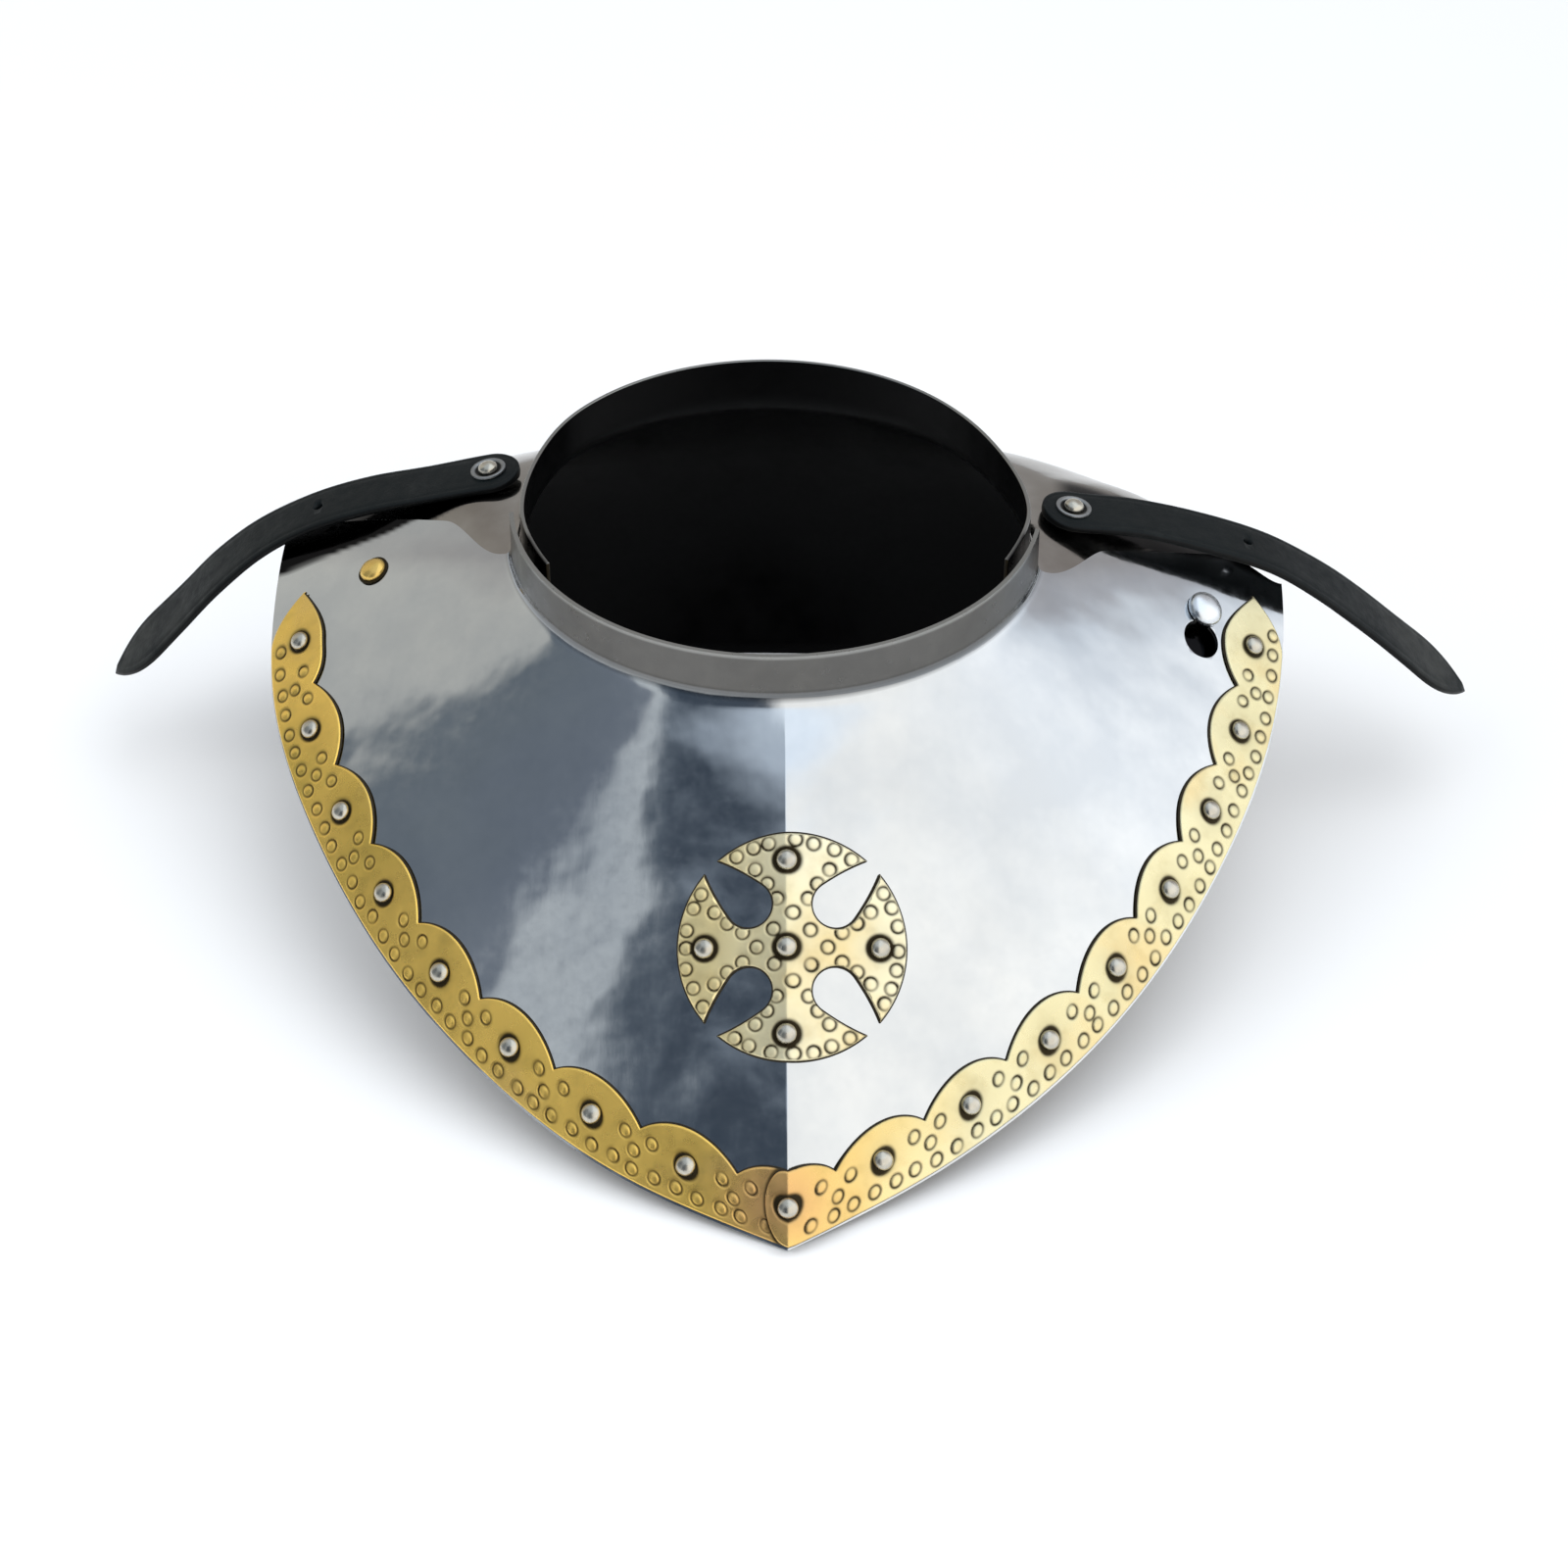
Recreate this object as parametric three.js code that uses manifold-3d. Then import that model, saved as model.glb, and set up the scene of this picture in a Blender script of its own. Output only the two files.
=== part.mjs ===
// Steel gorget: a two-plate neck defence with a brass border, a brass roundel and two shoulder straps.
// Millimetres, +Z up, the wearer faces -Y. The origin is on the surface it stands on, under its middle.
//
// Both plates follow one master surface. A point of it is found from an angle round the neck, in degrees
// from the front ridge and positive towards +X, and a reach from 0 at the foot of the collar to 1 at the
// lower edge. All shapes are made in the neck's own frame, whose centre is the middle of the collar's foot.

import * as THREE from 'three';
import { mergeVertices } from 'three/addons/utils/BufferGeometryUtils.js';
import Module from 'manifold-3d';

const wasm = await Module();
wasm.setup();

const { clamp, degToRad, lerp, smoothstep } = THREE.MathUtils;

// Sheets and clearances
const STEEL = 1.2;
const BRASS = 0.9;
const LEATHER = 2.5;
const GAP = 0.35;
const HOLE_PLAY = 0.3;

// Collar
const NECK_RADIUS = 74.5;
const COLLAR_HEIGHT = 14;
const BACK_NARROWING = 2.2;
const BACK_SHIFT = new THREE.Vector3(-2.5, 2.5, 0);
const RIDGE_LEAN = 2;
const REAR_TURN = [80, 130];
const NARROWING_TURN = [80, 115];
const COLLAR_FOOT_DROP = 0.55;

// Lower edge of the master surface: angle, half widths left and right, depth forward or back, heights
const FLOOR = -100.39;
const BACK_FOOT_ANGLE = 156;
const EDGE = [
  [0, -3.4, 3.4, -181, -100, -100],
  [12, 40, 40, -160, -94.5, -94.5],
  [26, 78, 78, -131.5, -83.5, -83.5],
  [40.5, 107, 107, -98.5, -70.5, -70.5],
  [55, 129, 129, -59.5, -57.5, -57.5],
  [70, 143.5, 143.5, -16, -42.5, -42.5],
  [88, 143.5, 146, 30.5, -24, -26],
  [103, 140, 141, 58, -34, -44],
  [118, 125, 125, 79, -59, -66],
  [136, 94, 94, 87, -86.5, -87],
  [BACK_FOOT_ANGLE, 50, 50, 86, FLOOR, FLOOR],
];

// Relief of the master surface
const RIDGE_LIFT = 2.2;
const RIDGE_WIDTH = 12;
const RIDGE_NORMAL = new THREE.Vector3(0, -0.684, 0.729);
const KEEL_START = 0.15;
const KEEL_FADE = 0.7;
const SHOULDER_BULGE = 14;
const SHOULDER_TURN = [86, 114];
const BACK_BULGE = 19;
const BACK_TURN = [112, 135];

// Front plate: angles where its rear edges meet the collar and the shoulder, and the trim of its corners
const FRONT_LEFT = [-85, -94, -2.5];
const FRONT_RIGHT = [78, 87, 4.5];
const COLLAR_BLEND = [0, 0.25];
const CORNER_BLEND = [0.75, 1];
const FRONT_HALF_COLUMNS = 22;
const ROW_REACHES = [0.08, 0.2, 0.36, 0.55, 0.74, 0.88, 1];

// Back plate: it slips under the front plate at both shoulders
const TONGUE_ANGLE = 64;
const TONGUE_REACH = 0.8;
const TONGUE_TURN = [86, 98];
const BACK_COLUMNS = 58;
const TUCK_AT_SHOULDER = 2.95;
const TUCK_AT_TONGUE = 4.2;
const TUCK_TURN = [TONGUE_ANGLE, 88];

// Shoulder fastenings: angle and reach on the master surface
const PIVOT_SPOT = { angle: -83, reach: 0.582 };
const PIVOT_TILT = new THREE.Vector3(0.07, 0.04, 0);
const STUD_SPOT = { angle: 77, reach: 0.668 };
const KEYHOLE_SPOT = { angle: 73, reach: 0.668 };
const PIVOT_HEAD_RADIUS = 3.9;
const STUD_HEAD_RADIUS = 5.3;
const STUD_NECK_RADIUS = 2.2;
const KEYHOLE_RADIUS = 5.8;
const KEYHOLE_SLOT = 8;
const PIVOT_HEAD_RISE = 2.2;
const STUD_HEAD_RISE = 3.4;
const PIN_TAIL_RADIUS = 3;

// Brass border
const SCALLOPS = 8;
const BORDER_INSET = 0.6;
const RIVET_INSET = 11;
const RIVET_PITCH = { left: 29.65, right: 28.75 };
const CUSP_DEPTH = 15;
const SCALLOP_RISE = 6;
const TAIL_LENGTH = 16.5;
const TAIL_STEPS = [0.3, 0.55, 0.75, 0.9, 1];
const END_LOBE = { left: 0.78, right: 1 };
const OUTER_TAPER = 1.6;
const INNER_TAPER = 2;
const LAP = 6;
const LAP_STEPS = [0, 30, 60, 75, 87];
const LAP_RISE = [9, 20];
const NARROWEST = 0.6;
const BORDER_BANDS = 2;
const PITCH_STEPS = 6;
const BORDER_ANGLE_LIMIT = 92;

// Brass roundel
const ROUNDEL_RADIUS = 30.6;
const ROUNDEL_SIDE = 1.5;
const ROUNDEL_REACH = 0.455;
const ROUNDEL_RIVET_RADIUS = 23;
const CUTOUT_DISTANCE = 16.2;
const CUTOUT_RADIUS = 6.1;
const CUTOUT_MOUTH = 2.1;
const CUTOUT_SHOULDER = [8.5, 4.7];
const CUTOUT_SHOULDER_TURN = 1.4;
const CUTOUT_LEAD = 2;
const CUTOUT_STEPS = 5;
const ROUNDEL_COLUMNS = 16;
const ROUNDEL_ROWS = 8;
const ROUNDEL_EDGE_TURN = 84;
const SEARCH_PASSES = 8;

// Rivets: domed heads on a shank, with a flat peened tail inside
const SHANK_RADIUS = 1.5;
const RIVET_HEAD_RADIUS = 2.75;
const RIVET_HEAD_HEIGHT = 1.9;
const TAIL_RADIUS = 2.5;
const TAIL_HEIGHT = 0.8;
const HEAD_PROFILE = [10, 40, 65];
const RIVET_SIDES = 10;
const HOLE_SIDES = 8;
const RIDGE_GRIP = 0.9;

// Straps: middle line from the rivet outwards, then the tip
const STRAP_WIDTH = 18.5;
const STRAP_RIVET_HEAD_RADIUS = 2.9;
const WASHER_RADIUS = 5.1;
const WASHER_HEIGHT = 0.6;
const STRAP_HOLE_RADIUS = 1.5;
const STRAP_TWIST = { left: 21, right: 12 };
const TWIST_SHARE = [0.3, 1];
const STRAP_TIP = 23;
const STRAP_TIP_FULLNESS = 2.5;
const ROUND_END_STOPS = [0.35, 1.4, 3, 5.5, 9.5];
const STRAP_STEP = 7.5;
const TIP_STOPS = [STRAP_TIP, 16, 10.5, 6, 2.8, 0.8];
const STRAP_RIVET_DISTANCE = 9;
const STRAP_HOLE_DISTANCE = 61;
const STRAP_RIVET_RISE = 1.8;
const STRAP_HOVER = 1;
const WASHER_SIDES = 20;
const LEFT_STRAP = [[-74, 36, -0.3], [-83, 36, -1.7], [-101, 36, -5.6], [-119, 37, -10.2],
  [-136, 37.5, -16.6], [-151, 37, -25], [-164, 36, -35.8], [-176, 35, -48.6], [-188, 34.5, -61.6],
  [-198, 34.5, -72.8]];
const RIGHT_STRAP = [[76, 19, -1.7], [85.5, 19, -3.5], [103, 19, -5.5], [122, 19, -10.4], [142, 19.5, -18.1],
  [157, 20, -27.7], [170, 20.5, -38.2], [183, 21, -50], [196, 22, -62.5], [204.5, 22.5, -70.5]];

const steel = new THREE.MeshStandardMaterial({ color: '#b9bfc6', roughness: 0.16, metalness: 1 });
const studSteel = new THREE.MeshStandardMaterial({ color: '#c3c4c2', roughness: 0.22, metalness: 1 });
const brass = new THREE.MeshStandardMaterial({ color: '#c9a349', roughness: 0.3, metalness: 1 });
const washerSteel = new THREE.MeshStandardMaterial({ color: '#7d8082', roughness: 0.4, metalness: 1 });
const leather = new THREE.MeshStandardMaterial({ color: '#1d2527', roughness: 0.55, metalness: 0 });

// A natural cubic spline: a smooth function through values at rising knots.
function naturalSpline(knots, values) {
  const last = knots.length - 1;
  const bend = new Array(last + 1).fill(0);
  const carry = new Array(last + 1).fill(0);
  for (let i = 1; i < last; i += 1) {
    const before = knots[i] - knots[i - 1];
    const after = knots[i + 1] - knots[i];
    const kink = (values[i + 1] - values[i]) / after - (values[i] - values[i - 1]) / before;
    const pivot = 2 * (before + after) - before * carry[i - 1];
    carry[i] = after / pivot;
    bend[i] = (6 * kink - before * bend[i - 1]) / pivot;
  }
  for (let i = last - 1; i > 0; i -= 1) {
    bend[i] -= carry[i] * bend[i + 1];
  }
  return (t) => {
    let i = 0;
    while (i < last - 1 && t > knots[i + 1]) {
      i += 1;
    }
    const step = knots[i + 1] - knots[i];
    const a = (knots[i + 1] - t) / step;
    const b = (t - knots[i]) / step;
    const curve = ((a ** 3 - a) * bend[i] + (b ** 3 - b) * bend[i + 1]) * step ** 2 / 6;
    return a * values[i] + b * values[i + 1] + curve;
  };
}

const [, leftWidth, rightWidth, forward, leftHeight, rightHeight] = EDGE[0].map((_, column) => (
  naturalSpline(EDGE.map((row) => row[0]), EDGE.map((row) => row[column]))));

// Angles may run past 180, round the back.
function wrapped(angle) {
  return angle > 180 ? angle - 360 : angle;
}

function edgePoint(angle) {
  const turn = Math.abs(angle);
  const bounded = Math.min(turn, BACK_FOOT_ANGLE);
  const narrowing = clamp((180 - turn) / (180 - BACK_FOOT_ANGLE), 0, 1);
  const x = (angle < 0 ? -leftWidth(bounded) : rightWidth(bounded)) * narrowing;
  const z = angle < 0 ? leftHeight(bounded) : rightHeight(bounded);
  return new THREE.Vector3(x, forward(bounded), z);
}

function neckPoint(angle) {
  const turn = Math.abs(angle);
  const lean = RIDGE_LEAN * Math.max(0, Math.cos(degToRad(angle)));
  const radians = degToRad(angle + lean);
  const rear = smoothstep(turn, ...REAR_TURN);
  const halfWidth = NECK_RADIUS - BACK_NARROWING * smoothstep(turn, ...NARROWING_TURN);
  const halfDepth = NECK_RADIUS - rear;
  const point = new THREE.Vector3(halfWidth * Math.sin(radians), -halfDepth * Math.cos(radians), 0);
  return point.addScaledVector(BACK_SHIFT, rear);
}

function bulge(angle) {
  const turn = Math.abs(angle);
  const shoulder = SHOULDER_BULGE * smoothstep(turn, ...SHOULDER_TURN);
  return shoulder - (SHOULDER_BULGE - BACK_BULGE) * smoothstep(turn, ...BACK_TURN);
}

function surfacePoint(rawAngle, reach) {
  const angle = wrapped(rawAngle);
  const top = neckPoint(angle);
  const chord = edgePoint(angle).sub(top);
  const flare = Math.hypot(chord.x, chord.y);
  const swell = 4 * reach * (1 - reach) * bulge(angle) / chord.length();
  const across = new THREE.Vector3(-chord.z * chord.x / flare, -chord.z * chord.y / flare, flare);
  const point = top.addScaledVector(chord, reach).addScaledVector(across, swell);
  const keel = RIDGE_LIFT * smoothstep(reach, 0, KEEL_START) * (1 - KEEL_FADE * reach);
  return point.addScaledVector(RIDGE_NORMAL, keel * Math.exp(-Math.abs(angle) / RIDGE_WIDTH));
}

// Short steps along the surface, for its tangents
const ANGLE_STEP = 0.5;
const REACH_STEP = 0.005;

function roundAt(angle, reach) {
  return surfacePoint(angle + ANGLE_STEP, reach).sub(surfacePoint(angle - ANGLE_STEP, reach));
}

function surfaceNormal(angle, reach) {
  const down = surfacePoint(angle, reach + REACH_STEP).sub(surfacePoint(angle, reach - REACH_STEP));
  return down.cross(roundAt(angle, reach)).normalize();
}

// A point at a height above the master surface; the sheets hang below it at negative heights.
function offSurface(angle, reach, height) {
  return surfacePoint(angle, reach).addScaledVector(surfaceNormal(angle, reach), height);
}

// A frame standing on the surface: Z out of the plate, X round the neck.
function frameAt(angle, reach, height = 0) {
  const z = surfaceNormal(angle, reach);
  const x = roundAt(angle, reach);
  x.addScaledVector(z, -x.dot(z)).normalize();
  const frame = new THREE.Matrix4().makeBasis(x, z.clone().cross(x), z);
  return frame.setPosition(offSurface(angle, reach, height));
}

// The two plates turn about a line that leans a little back from the plate's own normal.
function pivotFrame(height = 0) {
  const frame = frameAt(PIVOT_SPOT.angle, PIVOT_SPOT.reach);
  const x = new THREE.Vector3().setFromMatrixColumn(frame, 0);
  const place = new THREE.Vector3().setFromMatrixPosition(frame);
  const z = new THREE.Vector3().setFromMatrixColumn(frame, 2).add(PIVOT_TILT).normalize();
  x.addScaledVector(z, -x.dot(z)).normalize();
  frame.makeBasis(x, z.clone().cross(x), z);
  return frame.setPosition(place.addScaledVector(z, height));
}

// Angle and reach of the plate's point beside the ridge: x to the side, drop measured down the ridge.
function spotBesideRidge(x, drop) {
  const start = surfacePoint(0, ROUNDEL_REACH);
  const ridge = surfacePoint(0, 1).sub(surfacePoint(0, KEEL_START));
  const length = ridge.length() / (1 - KEEL_START);
  ridge.normalize();
  const degreeWidth = surfacePoint(ANGLE_STEP, ROUNDEL_REACH).sub(start).x / ANGLE_STEP;
  let angle = x / degreeWidth;
  let reach = ROUNDEL_REACH + drop / length;
  for (let pass = 0; pass < SEARCH_PASSES; pass += 1) {
    const offset = surfacePoint(angle, reach).sub(start);
    reach += (drop - offset.dot(ridge)) / length;
    angle += (x - offset.x) / degreeWidth;
  }
  return { angle, reach };
}

// A closed sheet between two grids of points, one outside and one inside.
function slab(columns, rows, outside, inside) {
  const positions = [];
  const index = [];
  const width = rows + 1;
  for (const face of [outside, inside]) {
    for (let i = 0; i <= columns; i += 1) {
      for (let j = 0; j <= rows; j += 1) {
        positions.push(...face(i, j).toArray());
      }
    }
  }
  const under = (columns + 1) * width;
  const quad = (a, b, c, d) => index.push(a, b, c, a, c, d);
  for (let i = 0; i < columns; i += 1) {
    for (let j = 0; j < rows; j += 1) {
      const a = i * width + j;
      quad(a, a + 1, a + 1 + width, a + width);
      quad(under + a, under + a + width, under + a + 1 + width, under + a + 1);
    }
    const top = i * width;
    const foot = top + rows;
    quad(top, top + width, under + top + width, under + top);
    quad(foot, under + foot, under + foot + width, foot + width);
  }
  for (let j = 0; j < rows; j += 1) {
    const far = columns * width + j;
    quad(j, under + j, under + j + 1, j + 1);
    quad(far, far + 1, under + far + 1, under + far);
  }
  const geometry = new THREE.BufferGeometry();
  geometry.setAttribute('position', new THREE.Float32BufferAttribute(positions, 3));
  geometry.setIndex(index);
  return geometry;
}

function toSolid(geometry) {
  const bare = geometry.clone();
  bare.deleteAttribute('normal');
  bare.deleteAttribute('uv');
  const merged = mergeVertices(bare);
  return new wasm.Manifold(new wasm.Mesh({
    numProp: 3,
    vertProperties: new Float32Array(merged.attributes.position.array),
    triVerts: new Uint32Array(merged.index.array),
  }));
}

function fromSolid(solid) {
  const { vertProperties, triVerts } = solid.getMesh();
  const geometry = new THREE.BufferGeometry();
  geometry.setAttribute('position', new THREE.BufferAttribute(vertProperties, 3));
  geometry.setIndex(new THREE.BufferAttribute(triVerts, 1));
  return geometry;
}

function cut(geometry, cutters) {
  let solid = toSolid(geometry);
  for (const cutter of cutters) {
    solid = solid.subtract(toSolid(cutter));
  }
  return fromSolid(solid);
}

// Cutters reach well past both faces of a sheet.
const CUT_DEPTH = 8;

function drill(radius, frame) {
  const drillBit = new THREE.CylinderGeometry(radius, radius, 2 * CUT_DEPTH, HOLE_SIDES);
  return drillBit.rotateX(Math.PI / 2).applyMatrix4(frame);
}

// One column of a collared sheet: the collar's rim, its foot, then the flared plate.
function collaredPoint(angle, row, reaches, depth) {
  if (row > 1) {
    return offSurface(angle, reaches[row - 2], -depth);
  }
  const foot = neckPoint(wrapped(angle));
  const outward = new THREE.Vector3(foot.x, foot.y, 0).normalize();
  const height = row === 0 ? COLLAR_HEIGHT : -COLLAR_FOOT_DROP * depth;
  return foot.addScaledVector(outward, -depth).setZ(height);
}

function frontPlate(border, roundel) {
  const pointAt = (depth) => (i, j) => {
    const share = i / FRONT_HALF_COLUMNS - 1;
    const [atCollar, atShoulder, cornerTrim] = share < 0 ? FRONT_LEFT : FRONT_RIGHT;
    const reach = j > 1 ? ROW_REACHES[j - 2] : 0;
    const limit = lerp(atCollar, atShoulder, smoothstep(reach, ...COLLAR_BLEND));
    const trim = cornerTrim * smoothstep(reach, ...CORNER_BLEND);
    return collaredPoint(Math.abs(share) * (limit - trim), j, ROW_REACHES, depth);
  };
  const sheet = slab(2 * FRONT_HALF_COLUMNS, ROW_REACHES.length + 1, pointAt(0), pointAt(STEEL));
  const shank = SHANK_RADIUS + HOLE_PLAY;
  const neck = STUD_NECK_RADIUS + HOLE_PLAY;
  const stud = frameAt(STUD_SPOT.angle, STUD_SPOT.reach);
  const keyhole = frameAt(KEYHOLE_SPOT.angle, KEYHOLE_SPOT.reach);
  const middle = frameAt((STUD_SPOT.angle + KEYHOLE_SPOT.angle) / 2, STUD_SPOT.reach);
  const slot = new THREE.BoxGeometry(KEYHOLE_SLOT, 2 * neck, 2 * CUT_DEPTH).applyMatrix4(middle);
  const holes = [...border, ...roundel].map((spot) => drill(shank, frameAt(spot.angle, spot.reach)));
  holes.push(drill(shank, pivotFrame()), drill(neck, stud), drill(KEYHOLE_RADIUS, keyhole), slot);
  return cut(sheet, holes);
}

// How far the back plate's outer face lies under the master surface.
function backTuck(angle) {
  return lerp(TUCK_AT_TONGUE, TUCK_AT_SHOULDER, smoothstep(Math.abs(wrapped(angle)), ...TUCK_TURN));
}

function backPlate(strapSpots) {
  const footRow = ROW_REACHES.length + 1;
  const pointAt = (depth) => (i, j) => {
    const angle = lerp(TONGUE_ANGLE, 360 - TONGUE_ANGLE, i / BACK_COLUMNS);
    const turn = Math.abs(wrapped(angle));
    const lastReach = lerp(TONGUE_REACH, 1, smoothstep(turn, ...TONGUE_TURN));
    const reaches = ROW_REACHES.map((reach) => reach * lastReach);
    const point = collaredPoint(angle, j, reaches, depth + backTuck(angle));
    const stands = j === footRow && turn >= BACK_FOOT_ANGLE;
    return point.setZ(stands ? FLOOR : Math.max(point.z, FLOOR));
  };
  const sheet = slab(BACK_COLUMNS, footRow, pointAt(0), pointAt(STEEL));
  const shank = SHANK_RADIUS + HOLE_PLAY;
  const holes = [pivotFrame(), frameAt(STUD_SPOT.angle, STUD_SPOT.reach)].map((frame) => drill(shank, frame));
  strapSpots.forEach((frame) => holes.push(drill(shank, frame)));
  return cut(sheet, holes);
}

// The border is laid out by distance along the rivet line, signed like the angle, and depth from the edge.
function borderLength(angle) {
  return 2 * surfacePoint(angle, 1).distanceTo(surfacePoint(angle, 0.5));
}

function borderSpot(angle, depth) {
  return { angle, reach: 1 - depth / borderLength(angle) };
}

function rivetLinePoint(angle) {
  const { reach } = borderSpot(angle, RIVET_INSET);
  return surfacePoint(angle, reach);
}

function angleTable(side) {
  const table = [[0, 0]];
  let length = 0;
  for (let turn = 1; turn <= BORDER_ANGLE_LIMIT; turn += 1) {
    length += rivetLinePoint(side * turn).distanceTo(rivetLinePoint(side * (turn - 1)));
    table.push([length, turn]);
  }
  return naturalSpline(table.map((row) => row[0]), table.map((row) => row[1]));
}

const turnAlong = { left: angleTable(-1), right: angleTable(1) };

function angleAlong(distance) {
  const side = distance < 0 ? 'left' : 'right';
  return Math.sign(distance) * turnAlong[side](Math.abs(distance));
}

// Depth of the scalloped inner edge: round arches that meet in cusps between the rivets.
function scallopDepth(distance, pitch) {
  const radius = ((pitch / 2) ** 2 + SCALLOP_RISE ** 2) / (2 * SCALLOP_RISE);
  const across = Math.abs(distance) - pitch * Math.round(Math.abs(distance) / pitch);
  return CUSP_DEPTH + Math.sqrt(radius ** 2 - across ** 2) - (radius - SCALLOP_RISE);
}

// One half of the border, from its lap over the ridge to its pointed end at the shoulder.
function borderHalf(side, lift, holes) {
  const hand = side < 0 ? 'left' : 'right';
  const pitch = RIVET_PITCH[hand];
  const lastRivet = SCALLOPS * pitch;
  const end = lastRivet + TAIL_LENGTH;
  const stops = LAP_STEPS.map((degrees) => -LAP * Math.cos(degToRad(degrees)));
  for (let i = 0; i <= SCALLOPS * PITCH_STEPS; i += 1) {
    stops.push(i * pitch / PITCH_STEPS);
  }
  stops.push(...TAIL_STEPS.map((share) => lastRivet + share * TAIL_LENGTH));
  const span = (distance) => {
    const round = Math.sqrt(1 - clamp(-distance / LAP, 0, 0.99) ** 2);
    const tail = clamp((distance - lastRivet) / TAIL_LENGTH, 0, 1);
    const lobe = lerp(1, END_LOBE[hand], smoothstep(distance, lastRivet - pitch / 2, lastRivet));
    const arch = lerp(RIVET_INSET, scallopDepth(Math.min(distance, lastRivet), pitch), lobe);
    const outer = lerp(lerp(RIVET_INSET, BORDER_INSET, round), RIVET_INSET, tail ** OUTER_TAPER);
    const inner = lerp(lerp(RIVET_INSET, arch, round), RIVET_INSET, tail ** INNER_TAPER);
    return [outer, Math.max(outer + NARROWEST, inner)];
  };
  const pointAt = (height) => (i, j) => {
    const column = side > 0 ? i : stops.length - 1 - i;
    const distance = stops[column];
    const [outer, inner] = span(distance);
    const { angle, reach } = borderSpot(angleAlong(side * distance), lerp(inner, outer, j / BORDER_BANDS));
    return offSurface(angle, reach, height + lift(side * distance));
  };
  const sheet = slab(stops.length - 1, BORDER_BANDS, pointAt(GAP + BRASS), pointAt(GAP));
  return cut(sheet, holes);
}

function roundelSheet(spots) {
  const limit = degToRad(ROUNDEL_EDGE_TURN);
  const ridgeTurn = Math.asin(-ROUNDEL_SIDE / ROUNDEL_RADIUS);
  const pointAt = (height) => (i, j) => {
    const share = 2 * i / ROUNDEL_COLUMNS - 1;
    const turn = lerp(ridgeTurn, Math.sign(share) * limit, Math.abs(share));
    const x = ROUNDEL_SIDE + ROUNDEL_RADIUS * Math.sin(turn);
    const drop = ROUNDEL_RADIUS * Math.cos(turn) * (2 * j / ROUNDEL_ROWS - 1);
    const { angle, reach } = spotBesideRidge(x, drop);
    return offSurface(angle, reach, height);
  };
  const sheet = slab(ROUNDEL_COLUMNS, ROUNDEL_ROWS, pointAt(GAP + BRASS), pointAt(GAP));
  const holes = spots.map((spot) => drill(SHANK_RADIUS + HOLE_PLAY, frameAt(spot.angle, spot.reach)));
  return cut(sheet, [...holes, ...roundelCutouts()]);
}

// A teardrop that opens at the rim: a round bulb narrowing to a mouth, drawn towards +X.
function teardrop() {
  const bulb = new THREE.Shape();
  const mouthX = ROUNDEL_RADIUS - CUTOUT_DISTANCE;
  const [shoulderX, shoulderY] = CUTOUT_SHOULDER;
  const sideX = CUTOUT_RADIUS * Math.cos(CUTOUT_SHOULDER_TURN);
  const sideY = CUTOUT_RADIUS * Math.sin(CUTOUT_SHOULDER_TURN);
  bulb.moveTo(mouthX + CUTOUT_LEAD, -CUTOUT_MOUTH / 2);
  bulb.lineTo(mouthX + CUTOUT_LEAD, CUTOUT_MOUTH / 2);
  bulb.lineTo(mouthX, CUTOUT_MOUTH);
  bulb.quadraticCurveTo(shoulderX, shoulderY, sideX, sideY);
  bulb.absarc(0, 0, CUTOUT_RADIUS, CUTOUT_SHOULDER_TURN, -CUTOUT_SHOULDER_TURN, false);
  bulb.quadraticCurveTo(shoulderX, -shoulderY, mouthX, -CUTOUT_MOUTH);
  return bulb;
}

function roundelCutouts() {
  const settings = { depth: 2 * CUT_DEPTH, bevelEnabled: false, curveSegments: CUTOUT_STEPS };
  return [45, 135, 225, 315].map((degrees) => {
    const turn = degToRad(degrees);
    const x = ROUNDEL_SIDE + CUTOUT_DISTANCE * Math.cos(turn);
    const drop = -CUTOUT_DISTANCE * Math.sin(turn);
    const { angle, reach } = spotBesideRidge(x, drop);
    const prism = new THREE.ExtrudeGeometry(teardrop(), settings).translate(0, 0, -CUT_DEPTH);
    return prism.rotateZ(turn).applyMatrix4(frameAt(angle, reach));
  });
}

// A rivet along +Z: its tail ends at -grip, its head rises from zero.
function rivetGeometry({ head, rise, shank, grip, tail = TAIL_RADIUS }) {
  const profile = [new THREE.Vector2(0, -grip - TAIL_HEIGHT)];
  profile.push(new THREE.Vector2(tail, -grip - TAIL_HEIGHT), new THREE.Vector2(tail, -grip));
  profile.push(new THREE.Vector2(shank, -grip), new THREE.Vector2(shank, 0));
  profile.push(new THREE.Vector2(head, 0));
  for (const degrees of HEAD_PROFILE) {
    const turn = degToRad(degrees);
    profile.push(new THREE.Vector2(head * Math.cos(turn), rise * Math.sin(turn)));
  }
  profile.push(new THREE.Vector2(0, rise));
  return new THREE.LatheGeometry(profile, RIVET_SIDES).rotateX(Math.PI / 2);
}

// Across a strap, towards the back: its front edge hangs lower and lower towards the free end.
function strapSide(forward, share) {
  const most = forward.x < 0 ? STRAP_TWIST.left : STRAP_TWIST.right;
  const twist = degToRad(most * smoothstep(share, ...TWIST_SHARE));
  const side = new THREE.Vector3(0, Math.cos(twist), Math.sin(twist));
  return side.addScaledVector(forward, -side.dot(forward)).normalize();
}

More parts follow.
